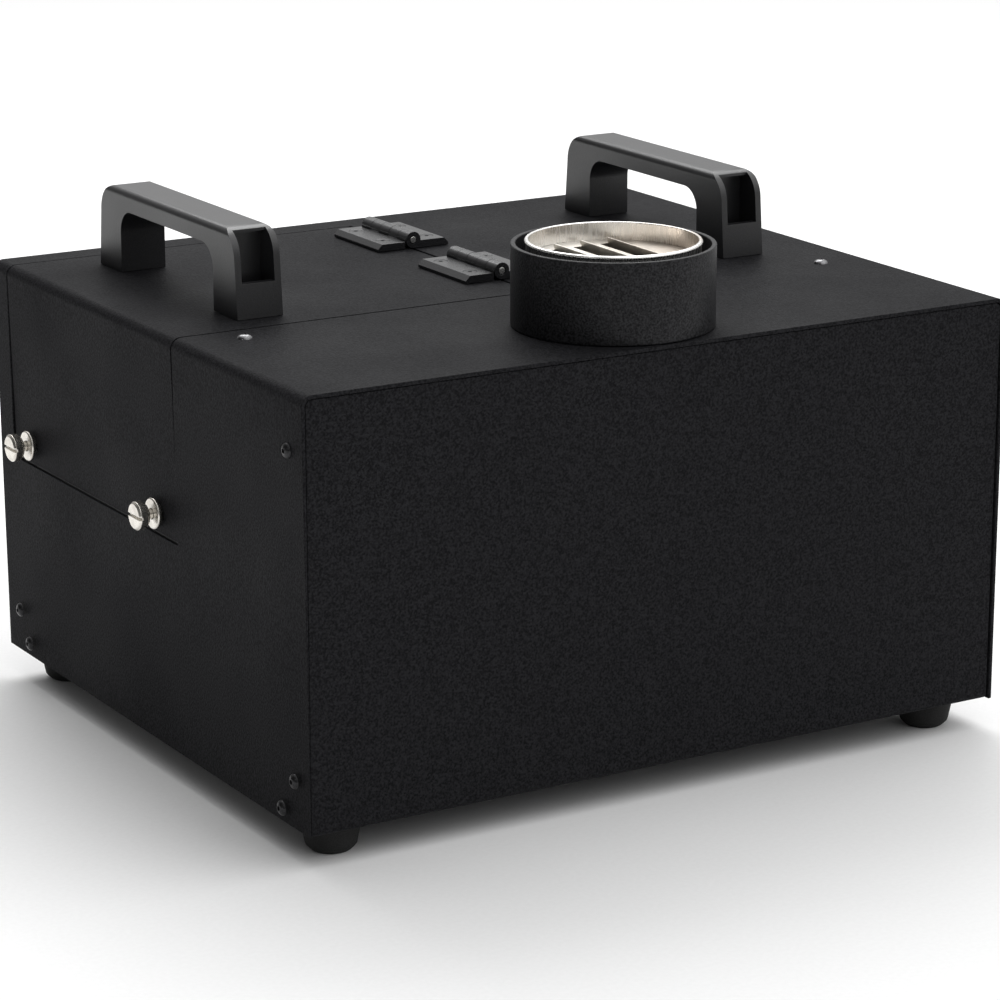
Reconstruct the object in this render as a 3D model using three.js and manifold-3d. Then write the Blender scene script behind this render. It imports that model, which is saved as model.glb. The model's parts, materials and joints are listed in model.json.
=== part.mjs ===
// Stage flame machine: a powder-coated steel case on rubber feet, with a round flame outlet,
// a hinged fuel lid with two captive thumb screws, and the burner, fuel and electric parts inside.
// Millimetres, +Z up, +X to the right along the wide front, the front faces -Y, feet stand on z = 0.

import * as THREE from 'three';
import { mergeVertices } from 'three/addons/utils/BufferGeometryUtils.js';
import Module from 'manifold-3d';

const wasm = await Module();
wasm.setup();

// Driving dimensions of the case
const caseWidth = 400;
const caseDepth = 346;
const caseHeight = 212;
const sheet = 2;
const coverBend = 5.5;
const panBend = 3;
const seat = 0.3;
const overrun = 5;
const frontRecess = 1;
const rearRecess = 6;
const panSideGap = 0.6;

// Feet
const footHeight = 16;
const footRadius = 15;
const footBaseRadius = 12.5;
const footRound = 3;
const footInsetX = 25;
const footInsetY = 24;
const footRecessRadius = 5;
const footRecessDepth = 7;

// Lid and its opening
const lidFrontY = -39;
const lidRearY = 155;
const lidDrop = 102;
const lidGap = 1;
const hingeX = 4;

// Levels and faces that the pieces share
const floorZ = footHeight;
const topZ = footHeight + caseHeight;
const insideFloorZ = floorZ + sheet;
const underTopZ = topZ - sheet;
const halfWidth = caseWidth / 2;
const halfDepth = caseDepth / 2;
const frontPanelY = -halfDepth + frontRecess;
const rearPanelY = halfDepth - rearRecess;
const lidBottomZ = topZ - lidDrop;
const panHalfWidth = halfWidth - sheet - panSideGap;
const lidEdgeX = hingeX - lidGap;
const coverEdgeX = hingeX + lidGap;

// Thumb screws, placed on the lid's side just above its lower edge
const screwY = [-17.5, 133.5];
const screwAboveEdge = 10;
const screwZ = lidBottomZ + screwAboveEdge;
const ferruleRadius = 8;
const ferruleFlange = 1.8;
const ferruleBarrel = 4.6;
const knobRadius = 7.3;
const knobLength = 5.2;
const knobChamfer = 1.1;
const screwTravel = 2.8;
const washerThickness = 0.9;
const washerRadius = 5.6;
const screwRadius = 2.5;
const slotWidth = 1.4;
const slotDepth = 1.6;
const knobProud = ferruleFlange + screwTravel + washerThickness + 3 * seat + knobLength;

// Number of flat sides on round pieces, by size
const bigSides = 48;
const midSides = 28;
const smallSides = 16;
const tinySides = 10;
const bendSteps = 4;

// Turns a closed three.js geometry into a solid that can be cut and joined.
function solid(geometry) {
  const bare = geometry.clone();
  bare.deleteAttribute('normal');
  bare.deleteAttribute('uv');
  const merged = mergeVertices(bare);
  const corners = [];
  for (let i = 0; i < merged.index.count; i += 3) {
    const [a, b, c] = [0, 1, 2].map((k) => merged.index.getX(i + k));
    if (a !== b && b !== c && c !== a) corners.push(a, b, c);
  }
  return new wasm.Manifold(new wasm.Mesh({
    numProp: 3,
    vertProperties: Float32Array.from(merged.attributes.position.array),
    triVerts: Uint32Array.from(corners),
  }));
}

// Turns a solid back into a geometry that a mesh can show.
function surface(body) {
  const made = body.getMesh();
  const geometry = new THREE.BufferGeometry();
  geometry.setAttribute('position', new THREE.BufferAttribute(made.vertProperties, 3));
  geometry.setIndex(new THREE.BufferAttribute(made.triVerts, 1));
  const flat = geometry.toNonIndexed();
  flat.computeVertexNormals();
  return flat;
}

// A block between two corners.
function block(x0, x1, y0, y1, z0, z1) {
  const geometry = new THREE.BoxGeometry(x1 - x0, y1 - y0, z1 - z0);
  geometry.translate((x0 + x1) / 2, (y0 + y1) / 2, (z0 + z1) / 2);
  return solid(geometry);
}

// Extrudes an outline. Along x it is drawn in (y, z), along y in (x, z), along z in (x, y).
function extrude(shape, along, from, to, steps = bendSteps) {
  const geometry = new THREE.ExtrudeGeometry(shape, {
    depth: to - from, bevelEnabled: false, curveSegments: steps,
  });
  const frame = new THREE.Matrix4();
  if (along === 'x') {
    frame.makeBasis(new THREE.Vector3(0, 1, 0), new THREE.Vector3(0, 0, 1), new THREE.Vector3(1, 0, 0));
    frame.setPosition(from, 0, 0);
  }
  if (along === 'y') {
    frame.makeBasis(new THREE.Vector3(1, 0, 0), new THREE.Vector3(0, 0, 1), new THREE.Vector3(0, -1, 0));
    frame.setPosition(0, to, 0);
  }
  if (along === 'z') frame.setPosition(0, 0, from);
  geometry.applyMatrix4(frame);
  return solid(geometry);
}

// Turns a profile of [radius, height] pairs round an axis through the given point.
function turned(profile, sides, along, at) {
  const points = profile.map(([radius, height]) => new THREE.Vector2(radius, height));
  const geometry = new THREE.LatheGeometry(points, sides);
  if (along === 'z') geometry.rotateX(Math.PI / 2);
  if (along === 'x') geometry.rotateZ(-Math.PI / 2);
  geometry.translate(at[0], at[1], at[2]);
  return solid(geometry);
}

// A round bar or a round cut.
function bar(radius, from, to, sides, along, at) {
  return turned([[0, from], [radius, from], [radius, to], [0, to]], sides, along, at);
}

// A ring with a square section.
function ring(inner, outer, from, to, sides, along, at) {
  return turned(
    [[inner, from], [outer, from], [outer, to], [inner, to], [inner, from]], sides, along, at);
}

// A rectangle with rounded corners, drawn round its middle.
function roundedPlate(width, height, radius, u = 0, v = 0) {
  const shape = new THREE.Shape();
  const [w, h] = [width / 2 - radius, height / 2 - radius];
  shape.absarc(u + w, v + h, radius, 0, Math.PI / 2);
  shape.absarc(u - w, v + h, radius, Math.PI / 2, Math.PI);
  shape.absarc(u - w, v - h, radius, Math.PI, 1.5 * Math.PI);
  shape.absarc(u + w, v - h, radius, 1.5 * Math.PI, 2 * Math.PI);
  shape.closePath();
  return shape;
}

// A tube or a wire along a smooth route.
function routed(points, radius, sides, steps) {
  const route = new THREE.CatmullRomCurve3(
    points.map((p) => new THREE.Vector3(...p)), false, 'catmullrom', 0.5);
  const section = new THREE.Shape();
  for (let i = 0; i < sides; i += 1) {
    const turn = (i / sides) * 2 * Math.PI;
    const [u, v] = [radius * Math.cos(turn), radius * Math.sin(turn)];
    if (i === 0) section.moveTo(u, v);
    else section.lineTo(u, v);
  }
  section.closePath();
  return solid(new THREE.ExtrudeGeometry(section, { steps, extrudePath: route, bevelEnabled: false }));
}

// Finishes, each with the colour, roughness and metalness of the real surface
const finishes = {
  powderBlack: [0x161618, 0.62, 0.2],
  innerBlack: [0x1b1b1d, 0.7, 0.2],
  mouldedBlack: [0x18181a, 0.5, 0],
  castBlack: [0x121213, 0.42, 0.6],
  rubber: [0x101010, 0.9, 0],
  stainless: [0xd8d6d0, 0.32, 1],
  nickel: [0xc9c6bd, 0.25, 1],
  galvanised: [0xa9adb0, 0.45, 0.9],
  brass: [0xb58b3c, 0.35, 1],
  copper: [0xb06a45, 0.35, 1],
  aluminium: [0xb5b7ba, 0.4, 1],
  whitePaint: [0xe4e4e0, 0.35, 0.1],
  ceramic: [0xefece2, 0.4, 0],
  coilBlack: [0x1d1d20, 0.55, 0],
  board: [0x1f5c3a, 0.5, 0],
  leadRed: [0x8c2a20, 0.5, 0],
  screen: [0x0b1014, 0.15, 0],
};

const machine = new THREE.Group();
machine.position.x = knobProud / 2;

function place(name, body, finish) {
  const [color, roughness, metalness] = finishes[finish];
  const material = new THREE.MeshStandardMaterial({ color, roughness, metalness });
  const mesh = new THREE.Mesh(surface(body), material);
  mesh.name = name;
  machine.add(mesh);
}

// Base pan: front and floor are one bent sheet, and the rear panel is screwed on behind it.
// Both have side flanges for the cover's screws.
const flangeWidth = 20;
const floorFlange = 18;
const flangeCornerGap = 3;
const rearTopFlange = 17;
const ventLength = 44;
const ventWidth = 5;
const ventPitch = 14;
const ventCount = 5;

// Rear panel fittings
const fittingAboveFloor = 52;
const fittingZ = floorZ + fittingAboveFloor;
const fittingHole = 12.2;
const dataInFromSide = 160;
const dataOutFromSide = 124;
const switchFromSide = 82;
const mainsFromSide = 42;
const displayFromSide = 142;
const displayAboveFloor = 118;
const dataInX = halfWidth - dataInFromSide;
const dataOutX = halfWidth - dataOutFromSide;
const switchX = halfWidth - switchFromSide;
const mainsX = halfWidth - mainsFromSide;
const displayX = halfWidth - displayFromSide;
const displayZ = floorZ + displayAboveFloor;
const displayWidth = 92;
const displayHeight = 34;
const displayBorder = 5;
const switchWidth = 15;
const switchHeight = 22;
const switchBorder = 3;

const panFrontY = frontPanelY;
const panTopZ = underTopZ - seat;
const flangeTop = underTopZ - coverBend;
const flangeFoot = insideFloorZ + flangeCornerGap;

// The cover's inside, with its rounded corners, which every panel has to fit.
function coverInside(y0, y1) {
  const corner = coverBend - sheet;
  const inside = new THREE.Shape();
  inside.moveTo(-panHalfWidth, floorZ - overrun);
  inside.lineTo(panHalfWidth, floorZ - overrun);
  inside.absarc(panHalfWidth - corner, panTopZ - corner, corner, 0, Math.PI / 2);
  inside.absarc(-panHalfWidth + corner, panTopZ - corner, corner, Math.PI / 2, Math.PI);
  inside.closePath();
  return extrude(inside, 'y', y0, y1);
}

// A pair of upright flanges along a panel's left and right edges.
function sideFlanges(y0, y1) {
  const outer = panHalfWidth;
  const inner = panHalfWidth - sheet;
  return block(-outer, -inner, y0, y1, flangeFoot, flangeTop)
    .add(block(inner, outer, y0, y1, flangeFoot, flangeTop));
}

function basePan() {
  const outline = new THREE.Shape();
  const [y0, y1, z0, z1] = [panFrontY, rearPanelY - sheet - seat, floorZ, panTopZ];
  const inner = panBend - sheet;
  outline.moveTo(y0, z1);
  outline.lineTo(y0, z0 + panBend);
  outline.absarc(y0 + panBend, z0 + panBend, panBend, Math.PI, 1.5 * Math.PI);
  outline.lineTo(y1, z0);
  outline.lineTo(y1, z0 + sheet);
  outline.absarc(y0 + panBend, z0 + panBend, inner, -Math.PI / 2, -Math.PI, true);
  outline.lineTo(y0 + sheet, z1);
  outline.closePath();
  let pan = extrude(outline, 'x', -panHalfWidth, panHalfWidth);
  pan = pan.add(sideFlanges(y0 + sheet / 2, y0 + flangeWidth));
  const [from, to] = [y0 + flangeWidth + flangeCornerGap, rearPanelY - flangeWidth - flangeCornerGap];
  for (const [x0, x1] of [[-panHalfWidth, -panHalfWidth + sheet], [panHalfWidth - sheet, panHalfWidth]]) {
    pan = pan.add(block(x0, x1, from, to, z0 + sheet / 2, z0 + floorFlange));
  }
  for (let i = 0; i < ventCount; i += 1) {
    const y = lidFrontY + ventPitch * (i + 1);
    pan = pan.subtract(block(ventX - ventLength / 2, ventX + ventLength / 2, y, y + ventWidth,
      z0 - overrun, z0 + sheet + overrun));
  }
  return pan.intersect(coverInside(y0 - overrun, y1 + overrun));
}

function rearPanel() {
  const [y0, y1] = [rearPanelY - sheet, rearPanelY];
  const reach = panHalfWidth - sheet - seat;
  let panel = block(-panHalfWidth, panHalfWidth, y0, y1, floorZ, panTopZ);
  panel = panel.add(sideFlanges(y1 - flangeWidth, y1 - sheet / 2));
  panel = panel.add(block(-panHalfWidth + coverBend, panHalfWidth - coverBend, y1 - rearTopFlange,
    y1 - sheet / 2, panTopZ - sheet, panTopZ));
  panel = panel.add(block(-reach, reach, y1 - rearTopFlange, y1 - sheet / 2,
    insideFloorZ + seat, insideFloorZ + seat + sheet));
  const [from, to] = [y0 - overrun, y1 + overrun];
  for (const x of [dataInX, dataOutX, mainsX]) {
    panel = panel.subtract(bar(fittingHole, from, to, midSides, 'y', [x, 0, fittingZ]));
  }
  panel = panel.subtract(block(switchX - switchWidth / 2 - seat, switchX + switchWidth / 2 + seat,
    from, to, fittingZ - switchHeight / 2 - seat, fittingZ + switchHeight / 2 + seat));
  panel = panel.subtract(block(displayX - displayWidth / 2 + displayBorder,
    displayX + displayWidth / 2 - displayBorder, from, to,
    displayZ - displayHeight / 2 + displayBorder, displayZ + displayHeight / 2 - displayBorder));
  return panel.intersect(coverInside(y1 - flangeWidth - overrun, y1 + overrun));
}

// Cover: an inverted U over left, top and right, with the lid's opening cut out of one corner
const outletX = -1.5;
const outletInset = 51.5;
const outletY = -halfDepth + outletInset;
const collarRadius = 50;
const collarWall = 2.5;
const collarHeight = 40.5;
const linerRadius = 42.8;
const linerWall = 1.5;
const linerProud = 1.8;
const coverHoleGap = 1.7;

function coverOutline(leftZ, rightX, rightZ) {
  const outline = new THREE.Shape();
  const inner = coverBend - sheet;
  outline.moveTo(-halfWidth, leftZ);
  outline.absarc(-halfWidth + coverBend, topZ - coverBend, coverBend, Math.PI, Math.PI / 2, true);
  if (rightZ === null) {
    outline.lineTo(rightX, topZ);
    outline.lineTo(rightX, underTopZ);
  } else {
    outline.absarc(rightX - coverBend, topZ - coverBend, coverBend, Math.PI / 2, 0, true);
    outline.lineTo(rightX, rightZ);
    outline.lineTo(rightX - sheet, rightZ);
    outline.absarc(rightX - coverBend, topZ - coverBend, inner, 0, Math.PI / 2);
  }
  outline.absarc(-halfWidth + coverBend, topZ - coverBend, inner, Math.PI / 2, Math.PI);
  outline.lineTo(-halfWidth + sheet, leftZ);
  outline.closePath();
  return outline;
}

function cover() {
  const shell = extrude(coverOutline(floorZ, halfWidth, floorZ), 'y', -halfDepth, halfDepth);
  const opening = block(-halfWidth - overrun, coverEdgeX, lidFrontY - lidGap, lidRearY + lidGap,
    lidBottomZ - lidGap, topZ + overrun);
  const outlet = bar(linerRadius + coverHoleGap, underTopZ - overrun, topZ + overrun,
    bigSides, 'z', [outletX, outletY, 0]);
  return shell.subtract(opening).subtract(outlet);
}

// Lid: one L-shaped sheet over the top and the side, with two holes for the ferrules
function lid() {
  let panel = extrude(coverOutline(lidBottomZ, lidEdgeX, null), 'y', lidFrontY, lidRearY);
  for (const y of screwY) {
    panel = panel.subtract(bar(ferruleBarrel + seat, -halfWidth - overrun, -halfWidth + overrun,
      smallSides, 'x', [0, y, screwZ]));
  }
  return panel;
}

// Lid ledge: a U-shaped frame welded behind the case side, which carries the lid and its nuts
const ledgeBelow = 14;
const ledgeAbove = 22;
const ledgeFrontWidth = 19;
const ledgeRearWidth = 11;
const ledgeX = -halfWidth + sheet + seat;
const firewallY = lidFrontY - 13;
const ledgeFrontY = firewallY + sheet + seat;
const ledgeRearY = rearPanelY - flangeWidth - seat;
// Press nuts, with a shank in the ledge's hole and a flange behind it
const nutRadius = 6;
const nutShank = 4.1;
const nutLength = 3;
const nutBore = 2.9;
const nutHoleRadius = nutShank + seat;

function lidLedge() {
  const [z0, z1] = [lidBottomZ - ledgeBelow, underTopZ - coverBend];
  const window = block(ledgeX - overrun, ledgeX + sheet + overrun, ledgeFrontY + ledgeFrontWidth,
    ledgeRearY - ledgeRearWidth, lidBottomZ + ledgeAbove, z1 + overrun);
  let frame = block(ledgeX, ledgeX + sheet, ledgeFrontY, ledgeRearY, z0, z1).subtract(window);
  for (const y of screwY) {
    frame = frame.subtract(bar(nutHoleRadius, ledgeX - overrun, ledgeX + sheet + overrun,
      smallSides, 'x', [0, y, screwZ]));
  }
  return frame;
}

function pressNut(y) {
  const back = ledgeX + sheet + seat;
  const profile = [[nutBore, ledgeX], [nutShank, ledgeX], [nutShank, back], [nutRadius, back],
    [nutRadius, back + nutLength], [nutBore, back + nutLength], [nutBore, ledgeX]];
  return turned(profile, smallSides, 'x', [0, y, screwZ]);
}

// Firewall between the burner bay and the rest, with a top flange that the lid's front edge lies on
const firewallFlange = 22;
const wallFlange = 12;
const pipeRadius = 3;
const pipeHoleRadius = 5;
const firewallHalfWidth = panHalfWidth - sheet - seat;

function firewall() {
  const [z0, z1] = [insideFloorZ + seat, underTopZ - seat];
  const wall = block(-firewallHalfWidth, firewallHalfWidth, firewallY, firewallY + sheet, z0, z1);
  const top = block(-firewallHalfWidth, firewallHalfWidth, firewallY, firewallY + firewallFlange,
    z1 - sheet, z1);
  const foot = block(-firewallHalfWidth, firewallHalfWidth, firewallY - wallFlange, firewallY + sheet,
    z0, z0 + sheet);
  const hole = bar(pipeHoleRadius, firewallY - overrun, firewallY + sheet + overrun,
    smallSides, 'y', [canX, 0, pipeZ]);
  return wall.add(top).add(foot).subtract(hole);
}

// Bulkhead between the fuel bay and the electric bay, under the fixed side of the hinges
const bulkheadX = 12;

function bulkhead() {
  const [z0, z1] = [insideFloorZ + seat, underTopZ - 2 * seat - sheet];
  const [y0, y1] = [firewallY + sheet + seat, rearPanelY - rearTopFlange - seat];
  const wall = block(bulkheadX, bulkheadX + sheet, y0, y1, z0, z1);
  return wall.add(block(bulkheadX, bulkheadX + wallFlange, y0, y1, z0, z0 + sheet));
}

// Feet: turned rubber with a sunk screw seat
function foot(x, y) {
  const profile = [[footRecessRadius, 0], [footBaseRadius - footRound, 0],
    [footBaseRadius, footRound], [footRadius, footHeight - seat], [0, footHeight - seat],
    [0, footRecessDepth], [footRecessRadius, footRecessDepth], [footRecessRadius, 0]];
  return turned(profile, midSides, 'z', [x, y, 0]);
}

// Flame outlet: outer collar, bright liner, louvred guard and the burner cup under the cover
const cupDepth = 58;
const cupWall = 1.2;
const cupRadius = 46.5;
const cupFloorZ = underTopZ - seat - cupDepth;
const rimBead = 0.6;
const rimBeadHeight = 2.2;
const linerTopZ = topZ + collarHeight + linerProud;
const guardDepth = 9;
const guardSheet = 1.5;
const guardSkirt = 9;
const guardZ = linerTopZ - guardDepth - guardSheet;
const guardRadius = linerRadius - linerWall - seat;
const louvreOffsets = [-15.5, 0, 15.5];
const louvreHalfLength = 29;
const louvreWidth = 5;
const louvreRise = 3;
const rivetRadius = 1.5;
const rivetRise = 0.9;
const rivetCircle = 36;
const electrodeOffset = 15;
const insulatorRadius = 4;
const jetRadius = 6;

function collar() {
  return ring(collarRadius - collarWall, collarRadius, topZ + seat, topZ + collarHeight,
    bigSides, 'z', [outletX, outletY, 0]);
}

function liner() {
  const [inner, outer] = [linerRadius - linerWall, linerRadius];
  const bottom = cupFloorZ + cupWall + seat;
  const profile = [[inner, bottom], [outer, bottom], [outer, linerTopZ - rimBeadHeight],
    [outer + rimBead, linerTopZ - rimBeadHeight / 2], [outer, linerTopZ], [inner, linerTopZ],
    [inner, bottom]];
  return turned(profile, bigSides, 'z', [outletX, outletY, 0]);
}

function guard() {
  const at = [outletX, outletY, 0];
  const inner = guardRadius - guardSheet;
  const profile = [[0, guardZ], [inner, guardZ], [inner, guardZ - guardSkirt],
    [guardRadius, guardZ - guardSkirt], [guardRadius, guardZ + guardSheet], [0, guardZ + guardSheet]];
  let plate = turned(profile, bigSides, 'z', at);
  const blade = new THREE.Shape();
  blade.moveTo(0, guardZ + guardSheet / 2);
  blade.lineTo(louvreWidth, guardZ + guardSheet / 2);
  blade.lineTo(0, guardZ + guardSheet + louvreRise);
  blade.lineTo(-guardSheet / 2, guardZ + guardSheet + louvreRise);
  blade.closePath();
  for (const offset of louvreOffsets) {
    const x = outletX + offset;
    plate = plate.subtract(block(x - louvreWidth, x, outletY - louvreHalfLength,
      outletY + louvreHalfLength, guardZ - overrun, guardZ + guardSheet + overrun));
    const lip = extrude(blade, 'y', outletY - louvreHalfLength, outletY + louvreHalfLength);
    plate = plate.add(lip.translate([x, 0, 0]));
    const rivetX = x + louvreWidth;
    const rivetY = outletY + Math.sqrt(rivetCircle ** 2 - (offset + louvreWidth) ** 2);
    plate = plate.add(bar(rivetRadius, guardZ, guardZ + guardSheet + rivetRise, tinySides,
      'z', [rivetX, rivetY, 0]));
  }
  return plate;
}

function burnerCup() {
  const [inner, outer] = [cupRadius - cupWall, cupRadius];
  const top = underTopZ - seat;
  const profile = [[jetRadius + seat, cupFloorZ], [outer, cupFloorZ], [outer, top], [inner, top],
    [inner, cupFloorZ + cupWall], [jetRadius + seat, cupFloorZ + cupWall],
    [jetRadius + seat, cupFloorZ]];
  let cup = turned(profile, bigSides, 'z', [outletX, outletY, 0]);
  for (const side of [-1, 1]) {
    cup = cup.subtract(bar(insulatorRadius + seat, cupFloorZ - overrun, cupFloorZ + overrun,
      smallSides, 'z', [outletX + side * electrodeOffset, outletY, 0]));
  }
  return cup;
}

// Jet: turned brass with a hexagon-like collar under the cup's floor and a stepped tip
const jetCollarRadius = 9;
const jetCollar = 6;
const jetRise = 12;
const jetTip = 5;
const jetTipRadius = 3;
const jetSocket = 8;
const jetSocketRadius = pipeRadius + seat;

function jet() {
  const under = cupFloorZ - seat;
  const foot = under - jetCollar;
  const profile = [[jetSocketRadius, foot - jetSocket / 2], [jetRadius, foot - jetSocket / 2],
    [jetRadius, foot], [jetCollarRadius, foot], [jetCollarRadius, under], [jetRadius, under],
    [jetRadius, under + jetRise], [jetTipRadius, under + jetRise + jetTip], [0, under + jetRise + jetTip],
    [0, foot + jetSocket / 2], [jetSocketRadius, foot + jetSocket / 2],
    [jetSocketRadius, foot - jetSocket / 2]];
  return turned(profile, smallSides, 'z', [outletX, outletY, 0]);
}

// Ignition electrodes: ceramic insulators through the cup's floor and bent wire tips
const insulatorBelow = 12;
const insulatorAbove = 18;
const insulatorRib = 1.6;
const insulatorCollar = 3;
const electrodeRadius = 1.1;
const electrodeRise = 16;
const electrodeBend = 8;
const sparkGap = 4;

function insulator(side) {
  const [low, high] = [cupFloorZ - insulatorBelow, cupFloorZ + insulatorAbove];
  const rib = cupFloorZ + cupWall + seat;
  const profile = [[0, low], [insulatorRadius, low], [insulatorRadius, rib],
    [insulatorRadius + insulatorRib, rib], [insulatorRadius + insulatorRib, rib + insulatorCollar],
    [insulatorRadius, rib + insulatorCollar], [insulatorRadius * 0.75, high], [0, high]];
  return turned(profile, smallSides, 'z', [outletX + side * electrodeOffset, outletY, 0]);
}

function electrode(side) {
  const foot = cupFloorZ + insulatorAbove + seat;
  const x = outletX + side * electrodeOffset;
  const bendZ = foot + electrodeRise - electrodeBend;
  const points = [[x, outletY, foot], [x, outletY, bendZ],
    [x - side * electrodeBend / 2, outletY, bendZ + electrodeBend / 2],
    [outletX + side * sparkGap, outletY, foot + electrodeRise]];
  return routed(points, electrodeRadius, 6, 12);
}

// Fuel canister, upside down on its dock, held in a sheet bracket by a spring clip
const canX = -95;
const canY = (lidFrontY + lidRearY) / 2;
const canRadius = 32.5;
const canHeight = 157;
const canNeckRadius = 16;
const canNeckHeight = 5;
const canShoulder = 12;
const canSeam = 2.5;
const canSeamRadius = 31.4;
const canDome = 9;
const canRimWidth = 3;
const stemRadius = 2.2;
const stemLength = 6;
const dockSize = 52;
const dockHeight = 24;
const dockRecess = 5;
const dockCorner = 6;
const dockZ = insideFloorZ + seat;
const canZ = dockZ + dockHeight - dockRecess + seat;
const pipeAboveDockFoot = 10;
const pipeZ = dockZ + pipeAboveDockFoot;
const ventFromCan = 60;
const ventX = canX - ventFromCan;

function fuelCan() {
  const top = canZ + canHeight;
  const shoulderZ = canZ + canNeckHeight + canShoulder;
  const profile = [[0, canZ - stemLength], [stemRadius, canZ - stemLength], [stemRadius, canZ],
    [canNeckRadius, canZ], [canNeckRadius, canZ + canNeckHeight],
    [canNeckRadius + canShoulder * 0.8, shoulderZ - canShoulder * 0.35], [canSeamRadius, shoulderZ],
    [canSeamRadius, shoulderZ + canSeam], [canRadius, shoulderZ + 2 * canSeam],
    [canRadius, top - 2 * canSeam], [canSeamRadius, top - canSeam], [canRadius, top - canSeam / 2],
    [canSeamRadius, top], [canSeamRadius - canRimWidth, top],
    [canSeamRadius - canRimWidth, top - canRimWidth], [canSeamRadius / 2, top - canDome * 0.8],
    [0, top - canDome]];
  return turned(profile, midSides, 'z', [canX, canY, 0]);
}

function canDock() {
  const body = extrude(roundedPlate(dockSize, dockSize, dockCorner, canX, canY), 'z',
    dockZ, dockZ + dockHeight);
  const bowl = turned([[0, canZ - seat], [canNeckRadius + seat, canZ - seat],
    [canNeckRadius + seat, canZ + canNeckHeight], [canNeckRadius + canShoulder + overrun,
      canZ + canNeckHeight + canShoulder], [0, canZ + canNeckHeight + canShoulder]],
  midSides, 'z', [canX, canY, 0]);
  const stemHole = bar(stemRadius + seat, canZ - stemLength - seat, canZ + overrun,
    tinySides, 'z', [canX, canY, 0]);
  const port = bar(pipeRadius + seat, canY - dockSize / 2 - overrun, canY - dockSize / 2 + portDepth,
    tinySides, 'y', [canX, 0, pipeZ]);
  return body.subtract(bowl).subtract(stemHole).subtract(port);
}

const portDepth = 8;
const bracketGap = 6;
const bracketX = canX + canRadius + bracketGap;
const bracketWidth = 56;
const bracketHeight = 150;
const bracketFoot = 30;
const bracketCorner = 10;
const clipSheet = 1.4;
const clipHeight = 22;
const clipAboveDockFoot = 104;
const clipZ = dockZ + clipAboveDockFoot;
const clipOpening = 0.95;
const clipLip = 4;

function canBracket() {
  const plate = extrude(roundedPlate(bracketWidth, bracketHeight + bracketCorner, bracketCorner,
    canY, dockZ + (bracketHeight - bracketCorner) / 2), 'x', bracketX, bracketX + sheet);
  const below = block(bracketX - overrun, bracketX + sheet + overrun, canY - bracketWidth,
    canY + bracketWidth, dockZ - bracketCorner - overrun, dockZ);
  const footPlate = block(bracketX, bracketX + bracketFoot, canY - bracketWidth / 2,
    canY + bracketWidth / 2, dockZ, dockZ + sheet);
  return plate.subtract(below).add(footPlate);
}

function canClip() {
  const [inner, outer] = [canRadius + seat, canRadius + seat + clipSheet];
  const [from, to] = [-Math.PI + clipOpening, Math.PI - clipOpening];
  const band = new THREE.Shape();
  band.absarc(canX, canY, outer, from, to);
  band.absarc(canX, canY, inner, to, from, true);
  band.closePath();
  let clip = extrude(band, 'z', clipZ, clipZ + clipHeight, smallSides);
  clip = clip.add(block(canX + inner + clipSheet / 4, bracketX - seat, canY - clipHeight / 2,
    canY + clipHeight / 2, clipZ, clipZ + clipHeight));
  for (const side of [-1, 1]) {
    const lipX = canX + (inner + clipSheet / 2) * Math.cos(to);
    const lipY = canY + side * (inner + clipSheet / 2) * Math.sin(to);
    clip = clip.add(bar(clipSheet, clipZ, clipZ + clipHeight, tinySides, 'z',
      [lipX - clipSheet / 4, lipY + side * clipSheet / 2, 0]));
  }
  return clip;
}

// Solenoid valve and the rigid fuel pipes between dock, valve and jet
const valveY = -18;
const valveSize = 24;
const valveHeight = 20;
const valveStem = 6;
const coilSize = 32;
const coilHeight = 30;
const coilCorner = 4;
const coilCapRadius = 8;
const coilCap = 5;

function valveBody() {
  const [x, y] = [canX, valveY];
  const half = valveSize / 2;
  let body = block(x - half, x + half, y - half, y + half, dockZ, dockZ + valveHeight);
  body = body.add(bar(stemRadius * 3, dockZ + valveHeight - seat, dockZ + valveHeight + valveStem,
    smallSides, 'z', [x, y, 0]));
  const cut = bar(pipeRadius + seat, y - half - overrun, y - half + portDepth / 2, tinySides,
    'y', [x, 0, pipeZ]);
  const cutBack = bar(pipeRadius + seat, y + half - portDepth / 2, y + half + overrun, tinySides,
    'y', [x, 0, pipeZ]);
  return body.subtract(cut).subtract(cutBack);
}

function valveCoil() {
  const base = dockZ + valveHeight + valveStem + seat;
  const coil = extrude(roundedPlate(coilSize, coilSize, coilCorner, canX, valveY), 'z',
    base, base + coilHeight);
  return coil.add(bar(coilCapRadius, base + coilHeight - seat, base + coilHeight + coilCap,
    smallSides, 'z', [canX, valveY, 0]));
}

function supplyPipe() {
  const from = valveY + valveSize / 2 - portDepth / 2 + seat;
  const to = canY - dockSize / 2 + portDepth - seat;
  return bar(pipeRadius, from, to, tinySides, 'y', [canX, 0, pipeZ]);
}

function burnerPipe() {
  const start = valveY - valveSize / 2 + portDepth / 2 - seat;
  const socketZ = cupFloorZ - seat - jetCollar + jetSocket / 2 - seat;
  const bend = 18;
  const points = [[canX, start, pipeZ], [canX, start - bend, pipeZ], [canX, firewallY - bend, pipeZ],
    [canX + bend, outletY, pipeZ], [canX + 2 * bend, outletY, pipeZ],
    [outletX - bend, outletY, pipeZ], [outletX, outletY, pipeZ + bend],
    [outletX, outletY, pipeZ + 2 * bend], [outletX, outletY, socketZ - bend],
    [outletX, outletY, socketZ]];
  return routed(points, pipeRadius, 8, 44);
}

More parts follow.
